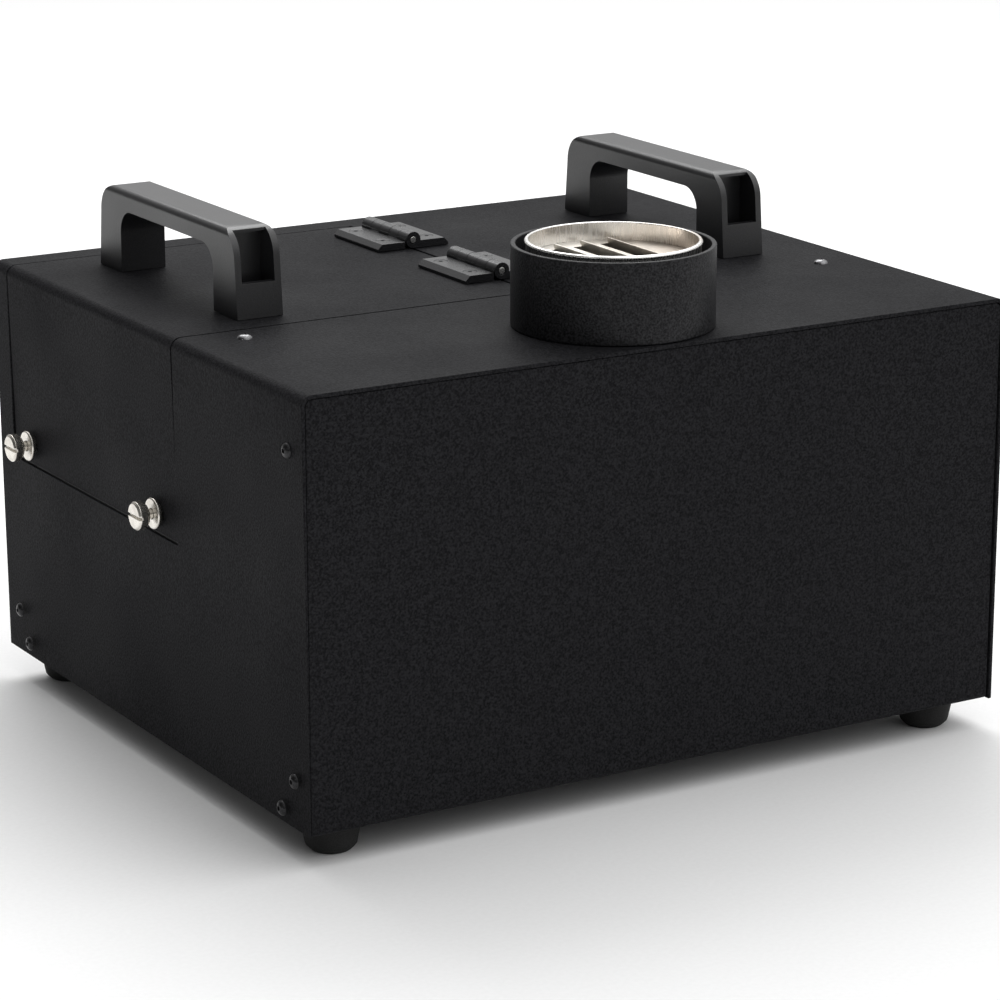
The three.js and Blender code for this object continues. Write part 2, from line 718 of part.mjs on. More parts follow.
// Electric bay: power supply, ignition transformer and control board
const supplyFromSide = 32;
const supplyWidth = 116;
const supplyFromRear = 27;
const supplyDepth = 80;
const supplyX = [halfWidth - supplyFromSide - supplyWidth, halfWidth - supplyFromSide];
const supplyYRange = [rearPanelY - supplyFromRear - supplyDepth, rearPanelY - supplyFromRear];
const supplyHeight = 42;
const boxRound = 3;
const transformerFromSide = 52;
const transformerWidth = 64;
const transformerFromFront = 14;
const transformerDepth = 46;
const transformerX = [halfWidth - transformerFromSide - transformerWidth, halfWidth - transformerFromSide];
const transformerY = [panFrontY + transformerFromFront,
  panFrontY + transformerFromFront + transformerDepth];
const transformerHeight = 44;
const terminalRadius = 5;
const terminalHeight = 12;
const boardFromSide = 24;
const boardWidth = 136;
const boardFromFirewall = 12;
const boardDepth = 84;
const boardX = [halfWidth - boardFromSide - boardWidth, halfWidth - boardFromSide];
const boardYRange = [firewallY + boardFromFirewall, firewallY + boardFromFirewall + boardDepth];
const boardThickness = 1.6;
const standoffHeight = 9;
const standoffRadius = 3;
const standoffInset = 6;
const baseZ = insideFloorZ + seat;

function roundedBox(xs, ys, z0, z1, radius) {
  return extrude(roundedPlate(xs[1] - xs[0], ys[1] - ys[0], radius,
    (xs[0] + xs[1]) / 2, (ys[0] + ys[1]) / 2), 'z', z0, z1);
}

function powerSupply() {
  let box = roundedBox(supplyX, supplyYRange, baseZ, baseZ + supplyHeight, boxRound);
  const slotPitch = 12;
  const slotHalf = 2.5;
  for (let x = supplyX[0] + slotPitch; x < supplyX[1] - slotPitch / 2; x += slotPitch) {
    box = box.subtract(block(x - slotHalf, x + slotHalf, supplyYRange[0] + slotPitch,
      supplyYRange[1] - slotPitch, baseZ + supplyHeight - slotHalf, baseZ + supplyHeight + overrun));
  }
  return box;
}

const terminalOffset = 14;
const terminalX = [-1, 1].map((side) => (transformerX[0] + transformerX[1]) / 2
  + side * terminalOffset);
const terminalY = (transformerY[0] + transformerY[1]) / 2;

function ignitionTransformer() {
  let box = roundedBox(transformerX, transformerY, baseZ, baseZ + transformerHeight, boxRound);
  for (const x of terminalX) {
    box = box.add(bar(terminalRadius, baseZ + transformerHeight - seat,
      baseZ + transformerHeight + terminalHeight, smallSides, 'z', [x, terminalY, 0]));
  }
  return box;
}

function ignitionLead(index) {
  const leadRadius = 2.2;
  const side = index === 0 ? -1 : 1;
  const topOfTerminal = baseZ + transformerHeight + terminalHeight + seat;
  const x = outletX + side * electrodeOffset;
  const rise = 16;
  const drop = cupFloorZ - insulatorBelow - seat;
  const y = terminalY + side * rise / 2;
  const points = [[terminalX[index], terminalY, topOfTerminal],
    [terminalX[index], terminalY, topOfTerminal + rise / 2],
    [terminalX[index] - rise, y, topOfTerminal + rise],
    [(terminalX[index] + x) / 2, y, topOfTerminal + rise],
    [x, outletY, drop - rise], [x, outletY, drop]];
  return routed(points, leadRadius, 6, 20);
}

function controlBoard() {
  const z = baseZ + standoffHeight;
  let board = block(boardX[0], boardX[1], boardYRange[0], boardYRange[1], z, z + boardThickness);
  for (const x of [boardX[0] + standoffInset, boardX[1] - standoffInset]) {
    for (const y of [boardYRange[0] + standoffInset, boardYRange[1] - standoffInset]) {
      board = board.add(bar(standoffRadius, baseZ, z + boardThickness / 2, tinySides, 'z', [x, y, 0]));
    }
  }
  const span = boardX[1] - boardX[0];
  const depth = boardYRange[1] - boardYRange[0];
  const partShares = [[0.12, 0.3, 0.12, 0.7, 9], [0.36, 0.5, 0.2, 0.42, 18], [0.56, 0.7, 0.2, 0.42, 18],
    [0.36, 0.62, 0.58, 0.8, 6], [0.78, 0.92, 0.15, 0.85, 14]];
  for (const [x0, x1, y0, y1, height] of partShares) {
    board = board.add(block(boardX[0] + span * x0, boardX[0] + span * x1,
      boardYRange[0] + depth * y0, boardYRange[0] + depth * y1,
      z + boardThickness / 2, z + boardThickness + height));
  }
  return board;
}

// Rear fittings: mains inlet, data sockets, rocker switch and display with four keys
const flangeW = 26;
const flangeH = 31;
const flangeThick = 2.4;
const flangeRound = 3;
const fittingBody = 20;
const fittingBodyRadius = fittingHole - seat;
const socketRadius = 9.4;
const socketDepth = 12;
const pinRadius = 1.2;
const pinCircle = 6;
const pinHoleRadius = 1.5;
const rearFaceY = rearPanelY + seat;

function fitting(x, bore, depth) {
  const plate = extrude(roundedPlate(flangeW, flangeH, flangeRound, x, fittingZ), 'y',
    rearFaceY, rearFaceY + flangeThick);
  const body = bar(fittingBodyRadius, rearFaceY - fittingBody, rearFaceY + flangeThick / 2,
    midSides, 'y', [x, 0, fittingZ]);
  const face = rearFaceY + flangeThick;
  return plate.add(body).subtract(bar(bore, face - depth, face + overrun, midSides,
    'y', [x, 0, fittingZ]));
}

function contacts(x, count, circle, radius, from, to) {
  const rods = [];
  for (let i = 0; i < count; i += 1) {
    const turn = Math.PI / 2 + (i / count) * 2 * Math.PI;
    rods.push(bar(radius, from, to, tinySides, 'y',
      [x + circle * Math.cos(turn), 0, fittingZ + circle * Math.sin(turn)]));
  }
  return rods;
}

function dataIn() {
  const face = rearFaceY + flangeThick;
  let body = fitting(dataInX, socketRadius, socketDepth);
  for (const rod of contacts(dataInX, 3, pinCircle, pinRadius, face - socketDepth - 1 * seat,
    face - flangeThick)) body = body.add(rod);
  return body;
}

const latchWidth = 9;
const latchHeight = 4;
const latchTravel = 1.2;
const latchProud = 1.6;

function dataOut() {
  const face = rearFaceY + flangeThick;
  const solidFace = 0.8;
  let body = fitting(dataOutX, socketRadius, solidFace);
  for (const rod of contacts(dataOutX, 3, pinCircle, pinHoleRadius, face - socketDepth,
    face + overrun)) body = body.subtract(rod);
  const slotTop = fittingZ + flangeH / 2 - flangeRound / 2;
  const slot = block(dataOutX - latchWidth / 2 - seat, dataOutX + latchWidth / 2 + seat,
    rearFaceY - overrun, face + overrun, slotTop - latchHeight - latchTravel - 2 * seat, slotTop);
  return body.subtract(slot);
}

function dataLatch() {
  const slotTop = fittingZ + flangeH / 2 - flangeRound / 2;
  const head = roundedPlate(latchWidth, latchHeight, latchHeight / 4, dataOutX,
    slotTop - seat - latchHeight / 2);
  return extrude(head, 'y', rearFaceY, rearFaceY + flangeThick + latchProud);
}

function mainsInlet() {
  const face = rearFaceY + flangeThick;
  const boreRadius = socketRadius + 1;
  let body = fitting(mainsX, boreRadius, socketDepth);
  const bladeHalf = 2.2;
  const bladeSheet = 0.9;
  const bladeOffset = 6;
  for (const side of [-1, 1]) {
    body = body.add(block(mainsX + side * bladeOffset - bladeSheet, mainsX + side * bladeOffset + bladeSheet,
      face - socketDepth - seat, face - flangeThick, fittingZ - bladeHalf, fittingZ + bladeHalf));
  }
  return body;
}

// Rocker switch: a frame snapped into the panel and a rocker on two pivot pins, one end pressed
const switchFlange = 1.8;
const switchDepth = 14;
const switchWall = 1.5;
const rockerPivotIn = 2.4;
const rockerTilt = 9;
const rockerRise = 2;
const rockerDepth = 4.5;
const rockerPin = 1.2;
const rockerEndGap = 0.9;
const pivotY = rearFaceY + switchFlange - rockerPivotIn;

function switchFrame() {
  const outer = extrude(roundedPlate(switchWidth + 2 * switchBorder, switchHeight + 2 * switchBorder,
    switchBorder / 2, switchX, fittingZ), 'y', rearFaceY, rearFaceY + switchFlange);
  const box = block(switchX - switchWidth / 2, switchX + switchWidth / 2, rearFaceY - switchDepth,
    rearFaceY + switchFlange / 2, fittingZ - switchHeight / 2, fittingZ + switchHeight / 2);
  const well = block(switchX - switchWidth / 2 + switchWall, switchX + switchWidth / 2 - switchWall,
    rearFaceY - switchDepth + switchWall, rearFaceY + switchFlange + overrun,
    fittingZ - switchHeight / 2 + switchWall, fittingZ + switchHeight / 2 - switchWall);
  const pivot = bar(rockerPin + seat, switchX - switchWidth / 2 + seat,
    switchX + switchWidth / 2 - seat, tinySides, 'x', [0, pivotY, fittingZ]);
  return outer.add(box).subtract(well).subtract(pivot);
}

function switchRocker() {
  const half = switchHeight / 2 - switchWall - rockerEndGap;
  const outline = new THREE.Shape();
  outline.moveTo(-rockerDepth, -half * 0.6);
  outline.lineTo(rockerRise, -half);
  outline.lineTo(rockerRise * 0.55, 0);
  outline.lineTo(rockerRise, half);
  outline.lineTo(-rockerDepth, half * 0.6);
  outline.closePath();
  const side = switchWidth / 2 - switchWall - seat;
  let rocker = extrude(outline, 'x', switchX - side, switchX + side);
  rocker = rocker.add(bar(rockerPin, switchX - side - switchWall / 2, switchX + side + switchWall / 2,
    tinySides, 'x', [0, 0, 0]));
  return rocker.rotate([rockerTilt, 0, 0]).translate([0, pivotY, fittingZ]);
}

const displayFace = 3;
const windowWidth = 36;
const windowHeight = 16;
const windowDepth = 1;
const windowFromMiddle = 20;
const windowX = displayX - windowFromMiddle;
const keyRadius = 3.8;
const keyCollar = 4.6;
const keyTravel = 1.2;
const keyProud = 2.2;
const keyPitch = 10;
const keysFromMiddle = 5;
const keyFirstX = displayX + keysFromMiddle;
const keyZ = displayZ;
const keyBack = 2;

function displayPanel() {
  const face = rearFaceY + displayFace;
  let bezel = extrude(roundedPlate(displayWidth, displayHeight, flangeRound, displayX, displayZ),
    'y', rearFaceY, face);
  bezel = bezel.subtract(block(windowX - windowWidth / 2, windowX + windowWidth / 2,
    face - windowDepth, face + overrun, displayZ - windowHeight / 2, displayZ + windowHeight / 2));
  for (let i = 0; i < 4; i += 1) {
    bezel = bezel.subtract(bar(keyRadius + seat, rearFaceY - overrun, face + overrun, smallSides,
      'y', [keyFirstX + i * keyPitch, 0, keyZ]));
  }
  return bezel;
}

function menuKey(index) {
  const face = rearFaceY + displayFace;
  const [back, collarY] = [rearFaceY - seat - keyBack, rearFaceY - seat];
  const profile = [[0, back], [keyCollar, back], [keyCollar, collarY], [keyRadius, collarY],
    [keyRadius, face + keyProud - seat], [keyRadius - seat, face + keyProud], [0, face + keyProud]];
  return turned(profile, smallSides, 'y', [keyFirstX + index * keyPitch, 0, keyZ]);
}

// Handles: hollow moulded bridges with an open pocket at each end, where the screw sits
const handleX = 143;
const handleWidth = 25;
const handleHalf = 79;
const handleY = 56;
const handleHeight = 44;
const handleDraft = 2.5;
const handleShoulder = 15;
const handleCrest = 4;
const gripHalf = 53;
const gripClear = 33;
const gripRound = 12;
const pocketWall = 3.5;
const pocketLedge = 17.3;
const pocketFloor = 5;
const pocketBack = 62;
const pocketRoofEnd = 68;
const pocketRoof = 3;

function handle(side) {
  const [z0, x] = [topZ + seat, side * handleX];
  const base = handleHalf;
  const upper = handleHalf - handleDraft;
  const outline = new THREE.Shape();
  outline.moveTo(-base, 0);
  outline.lineTo(-gripHalf, 0);
  outline.lineTo(-gripHalf, gripClear - gripRound);
  outline.absarc(-gripHalf + gripRound, gripClear - gripRound, gripRound, Math.PI, Math.PI / 2, true);
  outline.absarc(gripHalf - gripRound, gripClear - gripRound, gripRound, Math.PI / 2, 0, true);
  outline.lineTo(gripHalf, 0);
  outline.lineTo(base, 0);
  outline.absarc(upper - handleShoulder, handleHeight - handleShoulder, handleShoulder, 0, Math.PI / 2);
  outline.absarc(-upper + handleShoulder, handleHeight - handleShoulder, handleShoulder,
    Math.PI / 2, Math.PI);
  outline.closePath();
  const bridge = extrude(outline, 'x', -handleWidth / 2, handleWidth / 2, bendSteps + 2);
  const section = new THREE.Shape();
  const half = handleWidth / 2;
  section.moveTo(-half, -overrun);
  section.lineTo(half, -overrun);
  section.absarc(half - handleCrest, handleHeight - handleCrest, handleCrest, 0, Math.PI / 2);
  section.absarc(-half + handleCrest, handleHeight - handleCrest, handleCrest, Math.PI / 2, Math.PI);
  section.closePath();
  let body = bridge.intersect(extrude(section, 'y', -base - overrun, base + overrun));
  const wall = half - pocketWall;
  for (const end of [-1, 1]) {
    const spans = [[pocketRoofEnd, base + overrun, pocketLedge, handleHeight + overrun],
      [pocketBack, upper - pocketWall, pocketFloor, handleHeight - pocketRoof]];
    for (const [near, far, low, high] of spans) {
      body = body.subtract(block(-wall, wall, Math.min(end * near, end * far),
        Math.max(end * near, end * far), low, high));
    }
  }
  return body.translate([x, handleY, z0]);
}

// Hinges: cast leaves with five knuckles on a steel pin
const hingeLength = 49;
const hingeCentres = [109, 17];
const knuckleRadius = 4.5;
const knuckleCount = 5;
const knuckleGap = 0.3;
const leafReach = 21.5;
const leafThickness = 4;
const leafChamfer = 2.6;
const leafClear = 0.4;
const pinRadiusHinge = 1.9;
const hingeHoleRadius = 2;
const hingeHoleSink = 3.8;
const hingeHoleX = 13.5;
const hingeHoleY = 15;
const hingeZ = topZ + seat + knuckleRadius;

function hingeLeaf(centreY, side) {
  const low = -knuckleRadius;
  const high = low + leafThickness;
  const near = knuckleRadius + leafClear;
  const outline = new THREE.Shape();
  outline.moveTo(side * near, low);
  outline.lineTo(side * leafReach, low);
  outline.lineTo(side * leafReach, low + leafThickness / 3);
  outline.lineTo(side * (leafReach - leafChamfer), high);
  outline.lineTo(side * near, high);
  outline.closePath();
  let leaf = extrude(outline, 'y', -hingeLength / 2, hingeLength / 2);
  const pitch = hingeLength / knuckleCount;
  for (let i = 0; i < knuckleCount; i += 1) {
    const mine = side > 0 ? i % 2 === 0 : i % 2 === 1;
    if (mine) {
      const y0 = -hingeLength / 2 + i * pitch + (i > 0 ? knuckleGap / 2 : 0);
      const y1 = -hingeLength / 2 + (i + 1) * pitch - (i < knuckleCount - 1 ? knuckleGap / 2 : 0);
      const web = block(Math.min(0, side * (near + leafClear)), Math.max(0, side * (near + leafClear)),
        y0, y1, low, high);
      leaf = leaf.add(web).add(bar(knuckleRadius, y0, y1, smallSides, 'y', [0, 0, 0]));
    }
  }
  leaf = leaf.subtract(bar(pinRadiusHinge + seat, -hingeLength, hingeLength, tinySides, 'y', [0, 0, 0]));
  for (const end of [-1, 1]) {
    const sink = [[0, low - overrun], [hingeHoleRadius, low - overrun], [hingeHoleRadius, high - 1.8],
      [hingeHoleSink, high], [hingeHoleSink, high + overrun], [0, high + overrun]];
    leaf = leaf.subtract(turned(sink, smallSides, 'z', [side * hingeHoleX, end * hingeHoleY, 0]));
  }
  return leaf.translate([hingeX, centreY, hingeZ]);
}

function hingePin(centreY) {
  return bar(pinRadiusHinge, centreY - hingeLength / 2, centreY + hingeLength / 2,
    tinySides, 'y', [hingeX, 0, hingeZ]);
}

// Thumb screws: ferrule in the lid, plain washer under the head, slotted head with its stud
const ferruleBore = screwRadius + seat;
const ferruleFaceX = -halfWidth - seat - ferruleFlange;
const washerFaceX = ferruleFaceX - screwTravel - seat;

function ferrule(y) {
  const profile = [[ferruleBore, ferruleFaceX], [ferruleRadius - ferruleFlange / 3, ferruleFaceX],
    [ferruleRadius, ferruleFaceX + ferruleFlange / 3], [ferruleRadius, -halfWidth - seat],
    [ferruleBarrel, -halfWidth - seat], [ferruleBarrel, -halfWidth + sheet],
    [ferruleBore, -halfWidth + sheet], [ferruleBore, ferruleFaceX]];
  return turned(profile, midSides, 'x', [0, y, screwZ]);
}

function screwWasher(y) {
  return ring(ferruleBore, washerRadius, washerFaceX - washerThickness, washerFaceX,
    smallSides, 'x', [0, y, screwZ]);
}

function thumbScrew(y) {
  const under = washerFaceX - washerThickness - seat;
  const face = under - knobLength;
  const profile = [[0, face], [knobRadius - knobChamfer, face], [knobRadius, face + knobChamfer],
    [knobRadius, under - knobChamfer / 2], [knobRadius - knobChamfer / 2, under],
    [screwRadius, under], [screwRadius, -halfWidth + sheet], [0, -halfWidth + sheet]];
  const screw = turned(profile, midSides, 'x', [0, y, screwZ]);
  const slot = block(face - overrun, face + slotDepth, y - knobRadius - overrun,
    y + knobRadius + overrun, screwZ - slotWidth / 2, screwZ + slotWidth / 2);
  return screw.subtract(slot);
}

place('base_pan', basePan(), 'powderBlack');
place('rear_panel', rearPanel(), 'powderBlack');
place('cover', cover(), 'powderBlack');
place('lid', lid(), 'powderBlack');
place('lid_ledge', lidLedge(), 'innerBlack');
place('firewall', firewall(), 'galvanised');
place('bulkhead', bulkhead(), 'galvanised');
[['front_left', -1, -1], ['front_right', 1, -1], ['rear_left', -1, 1], ['rear_right', 1, 1]]
  .forEach(([name, sideX, sideY]) => {
    place(`foot_${name}`, foot(sideX * (halfWidth - footInsetX), sideY * (halfDepth - footInsetY)),
      'rubber');
  });
place('nozzle_collar', collar(), 'powderBlack');
place('nozzle_liner', liner(), 'stainless');
place('guard_plate', guard(), 'stainless');
place('burner_cup', burnerCup(), 'stainless');
place('burner_jet', jet(), 'brass');
[['left', -1], ['right', 1]].forEach(([name, side], index) => {
  place(`electrode_insulator_${name}`, insulator(side), 'ceramic');
  place(`electrode_${name}`, electrode(side), 'nickel');
  place(`ignition_lead_${name}`, ignitionLead(index), 'leadRed');
  place(`handle_${name}`, handle(side), 'mouldedBlack');
});
place('fuel_can', fuelCan(), 'whitePaint');
place('can_dock', canDock(), 'aluminium');
place('can_bracket', canBracket(), 'galvanised');
place('can_clip', canClip(), 'stainless');
place('valve_body', valveBody(), 'brass');
place('valve_coil', valveCoil(), 'coilBlack');
place('supply_pipe', supplyPipe(), 'copper');
place('burner_pipe', burnerPipe(), 'copper');
place('power_supply', powerSupply(), 'aluminium');
place('ignition_transformer', ignitionTransformer(), 'coilBlack');
place('control_board', controlBoard(), 'board');
place('data_in', dataIn(), 'nickel');
place('data_out', dataOut(), 'mouldedBlack');
place('data_out_latch', dataLatch(), 'nickel');
place('mains_inlet', mainsInlet(), 'mouldedBlack');
place('switch_frame', switchFrame(), 'mouldedBlack');
place('switch_rocker', switchRocker(), 'mouldedBlack');
place('display_panel', displayPanel(), 'screen');
for (let i = 0; i < 4; i += 1) place(`menu_key_${i + 1}`, menuKey(i), 'mouldedBlack');
['rear', 'front'].forEach((name, index) => {
  place(`hinge_leaf_fixed_${name}`, hingeLeaf(hingeCentres[index], 1), 'castBlack');
  place(`hinge_leaf_lid_${name}`, hingeLeaf(hingeCentres[index], -1), 'castBlack');
  place(`hinge_pin_${name}`, hingePin(hingeCentres[index]), 'nickel');
});
['front', 'rear'].forEach((name, index) => {
  place(`screw_ferrule_${name}`, ferrule(screwY[index]), 'nickel');
  place(`screw_washer_${name}`, screwWasher(screwY[index]), 'nickel');
  place(`thumb_screw_${name}`, thumbScrew(screwY[index]), 'nickel');
  place(`lid_nut_${name}`, pressNut(screwY[index]), 'galvanised');
});

export default machine;
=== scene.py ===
import json
import math

import bmesh
import bpy
from mathutils import Matrix, Vector


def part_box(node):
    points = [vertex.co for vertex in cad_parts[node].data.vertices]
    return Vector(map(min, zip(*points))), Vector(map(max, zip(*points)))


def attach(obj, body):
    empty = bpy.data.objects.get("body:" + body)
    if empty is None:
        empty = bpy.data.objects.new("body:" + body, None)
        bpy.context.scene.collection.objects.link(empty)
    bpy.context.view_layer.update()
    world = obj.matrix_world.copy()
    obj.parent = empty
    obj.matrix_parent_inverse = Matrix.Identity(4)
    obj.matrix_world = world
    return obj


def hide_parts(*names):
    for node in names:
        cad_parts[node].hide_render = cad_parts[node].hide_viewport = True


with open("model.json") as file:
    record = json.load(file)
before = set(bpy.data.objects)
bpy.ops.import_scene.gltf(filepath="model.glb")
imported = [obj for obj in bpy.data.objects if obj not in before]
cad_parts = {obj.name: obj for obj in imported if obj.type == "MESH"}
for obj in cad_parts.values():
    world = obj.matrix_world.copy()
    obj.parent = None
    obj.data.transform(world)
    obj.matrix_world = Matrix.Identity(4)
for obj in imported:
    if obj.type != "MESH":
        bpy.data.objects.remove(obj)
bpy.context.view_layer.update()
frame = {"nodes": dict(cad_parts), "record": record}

# Case: cover, base pan, rear panel and lid are folded steel sheet, 2 mm thick, held together by
# small screws. They are powder coated black, which leaves a fine, slightly sparkling grain and
# softly rounded cut edges.
POWDER_BLACK = (0.0074, 0.0074, 0.0082)
POWDER_SPARKLE = (0.0205, 0.0205, 0.0225)
POWDER_GRAIN_PER_METRE = 950.0
SHEET_EDGE = 0.00045
GLOSS_PATCHES_PER_METRE = 14.0
GLOSSIEST_SHARE = 0.9
DULLEST_SHARE = 1.12
SAME_POINT = 1e-6
SAME_PLANE_DEGREES = 0.6
SHARP_DEGREES = 33.0
FLAT_FACE_WEIGHT = 60
BODY_OF = {node: body for body, nodes in frame["record"]["behaviour"]["bodies"].items()
           for node in nodes}


def new_material(name, colour, roughness, metallic=0.0, level=0.5):
    """A material whose shader has the given base values, with its nodes ready to be extended."""
    material = bpy.data.materials.new(name)
    material.use_nodes = True
    nodes = material.node_tree.nodes
    shader = nodes["Principled BSDF"]
    shader.inputs["Base Color"].default_value = (*colour, 1.0)
    shader.inputs["Roughness"].default_value = roughness
    shader.inputs["Metallic"].default_value = metallic
    shader.inputs["Specular IOR Level"].default_value = level
    return material, nodes, material.node_tree.links, shader


def noise(nodes, links, scale, detail=3.0, stretch=(1.0, 1.0, 1.0)):
    """Noise fixed to the object, scale in features per metre, stretched along the axes."""
    place = nodes.new("ShaderNodeTexCoord")
    mapping = nodes.new("ShaderNodeMapping")
    mapping.inputs["Scale"].default_value = stretch
    texture = nodes.new("ShaderNodeTexNoise")
    texture.inputs["Scale"].default_value = scale
    texture.inputs["Detail"].default_value = detail
    links.new(place.outputs["Object"], mapping.inputs["Vector"])
    links.new(mapping.outputs["Vector"], texture.inputs["Vector"])
    return texture.outputs["Fac"]


def ranged(nodes, links, value, low, high, into, start=0.3, end=0.7):
    """Maps a value between start and end to the range low to high and feeds it to a socket."""
    step = nodes.new("ShaderNodeMapRange")
    step.inputs["From Min"].default_value = start
    step.inputs["From Max"].default_value = end
    step.inputs["To Min"].default_value = low
    step.inputs["To Max"].default_value = high
    links.new(value, step.inputs["Value"])
    links.new(step.outputs["Result"], into)


def mixed_colour(nodes, links, value, first, second, into, start=0.35, end=0.65):
    """Blends two colours by a value and feeds the result to a colour socket."""
    ramp = nodes.new("ShaderNodeValToRGB")
    for stop, position, colour in zip(ramp.color_ramp.elements, (start, end), (first, second)):
        stop.position = position
        stop.color = (*colour, 1.0)
    links.new(value, ramp.inputs["Fac"])
    links.new(ramp.outputs["Color"], into)


def bumped(nodes, links, value, shader, depth, strength=1.0):
    """Adds relief of the given depth in metres to a shader."""
    bump = nodes.new("ShaderNodeBump")
    bump.inputs["Distance"].default_value = depth
    bump.inputs["Strength"].default_value = strength
    links.new(value, bump.inputs["Height"])
    links.new(bump.outputs["Normal"], shader.inputs["Normal"])


def grained(name, colour, lighter, roughness, grain, depth, metallic=0.0, level=0.5,
            stretch=(1.0, 1.0, 1.0)):
    """A finish with fine grain in colour and relief, and broad changes of gloss."""
    material, nodes, links, shader = new_material(name, colour, roughness, metallic, level)
    fine = noise(nodes, links, grain, detail=2.0, stretch=stretch)
    mixed_colour(nodes, links, fine, colour, lighter, shader.inputs["Base Color"])
    bumped(nodes, links, fine, shader, depth)
    broad = noise(nodes, links, GLOSS_PATCHES_PER_METRE)
    ranged(nodes, links, broad, roughness * GLOSSIEST_SHARE, min(1.0, roughness * DULLEST_SHARE),
           shader.inputs["Roughness"])
    return material


def made_object(shape, name, mesh_name, material):
    """Turns an edited shape into an object in the scene, with one material."""
    mesh = bpy.data.meshes.new(mesh_name)
    shape.to_mesh(mesh)
    shape.free()
    mesh.materials.append(material)
    piece = bpy.data.objects.new(name, mesh)
    bpy.context.collection.objects.link(piece)
    return piece


def bevelled(piece, name, width, segments, degrees):
    """Rounds every edge whose faces meet at more than the given angle."""
    bevel = piece.modifiers.new(name, "BEVEL")
    bevel.width = width
    bevel.segments = segments
    bevel.limit_method = "ANGLE"
    bevel.angle_limit = math.radians(degrees)


def rounded(node, material, edge, segments=2):
    """Rebuilds a CAD node's shape with rounded edges and even shading, and stands in for it."""
    shape = bmesh.new()
    shape.from_mesh(frame["nodes"][node].data)
    bmesh.ops.remove_doubles(shape, verts=shape.verts, dist=SAME_POINT)
    bmesh.ops.dissolve_limit(shape, verts=shape.verts, edges=shape.edges,
                             angle_limit=math.radians(SAME_PLANE_DEGREES))
    for face in shape.faces:
        face.smooth = True
    piece = made_object(shape, "look_" + node, "shape_" + node, material)
    if edge > 0.0:
        bevelled(piece, "rounded_edges", edge, segments, SHARP_DEGREES)
    even = piece.modifiers.new("even_shading", "WEIGHTED_NORMAL")
    even.weight = FLAT_FACE_WEIGHT
    even.keep_sharp = True
    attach(piece, BODY_OF[node])
    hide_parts(node)


def coated(nodes_to_dress, material, edge, segments=2):
    """Rebuilds several CAD nodes in one material, with the same edge rounding."""
    for node in nodes_to_dress:
        rounded(node, material, edge, segments)


powder = grained("powder_coat", POWDER_BLACK, POWDER_SPARKLE, roughness=0.54,
                 grain=POWDER_GRAIN_PER_METRE, depth=0.00022, level=0.025)
coated(["cover", "base_pan", "rear_panel", "lid"], powder, SHEET_EDGE)

# Outlet collar: a rolled and welded steel ring, powder coated like the case and standing on the
# cover. Its coat is a little thicker, coarser and glossier on the round wall.
COLLAR_BLACK = (0.004, 0.004, 0.0045)
COLLAR_SPARKLE = (0.026, 0.026, 0.028)
COLLAR_EDGE = 0.0006
collar_coat = grained("collar_coat", COLLAR_BLACK, COLLAR_SPARKLE, roughness=0.42, grain=1000.0,
                      depth=0.0002, level=0.12)
coated(["nozzle_collar"], collar_coat, COLLAR_EDGE, segments=3)

# Outlet liner: a bright stainless tube with a rolled rim, hung in the collar. The flame has
# tinted it brown towards its right side. Rolling left fine lines round its wall.
LINER_STEEL = (0.96, 0.95, 0.92)
LINER_TINT = (0.56, 0.4, 0.27)
LINER_TINT_FROM = 0.04
LINER_TINT_TO = 0.09
LINER_EDGE = 0.0005
TINT_CLOUDS_PER_METRE = 45.0
TINT_WANDER = 0.03
ROLLED_LINES_PER_METRE = 900.0
ROLLED_STRETCH = (1.0, 1.0, 0.04)
ROLLED_DEPTH = 0.00003
ROLLED_STRENGTH = 0.6
ROLLED_GLOSSIEST = 0.85
ROLLED_DULLEST = 1.2


def box_corners(node):
    """The lowest and the highest corner of a CAD node's box."""
    return [Vector(corner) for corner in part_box(node)]


def heat_tinted(name, bright, tint, roughness, tint_start, tint_end):
    """Bright metal whose colour drifts to a tint along x, with a wavering border."""
    material, nodes, links, shader = new_material(name, bright, roughness, metallic=1.0)
    place = nodes.new("ShaderNodeTexCoord")
    split = nodes.new("ShaderNodeSeparateXYZ")
    links.new(place.outputs["Object"], split.inputs["Vector"])
    clouds = noise(nodes, links, TINT_CLOUDS_PER_METRE, detail=4.0)
    wander = nodes.new("ShaderNodeMath")
    wander.operation = "MULTIPLY_ADD"
    wander.inputs[1].default_value = TINT_WANDER
    links.new(clouds, wander.inputs[0])
    links.new(split.outputs["X"], wander.inputs[2])
    along = nodes.new("ShaderNodeMapRange")
    along.inputs["From Min"].default_value = tint_start
    along.inputs["From Max"].default_value = tint_end
    links.new(wander.outputs["Value"], along.inputs["Value"])
    mixed_colour(nodes, links, along.outputs["Result"], bright, tint,
                 shader.inputs["Base Color"], start=0.0, end=1.0)
    rolled = noise(nodes, links, ROLLED_LINES_PER_METRE, detail=2.0, stretch=ROLLED_STRETCH)
    bumped(nodes, links, rolled, shader, ROLLED_DEPTH, ROLLED_STRENGTH)
    ranged(nodes, links, rolled, roughness * ROLLED_GLOSSIEST, roughness * ROLLED_DULLEST,
           shader.inputs["Roughness"])
    return material


liner_low, liner_high = box_corners("nozzle_liner")
liner_centre = (liner_low + liner_high) / 2.0
liner_steel = heat_tinted("liner_steel", LINER_STEEL, LINER_TINT, roughness=0.26,
                          tint_start=liner_centre.x + LINER_TINT_FROM,
                          tint_end=liner_centre.x + LINER_TINT_TO)
coated(["nozzle_liner"], liner_steel, LINER_EDGE, segments=3)

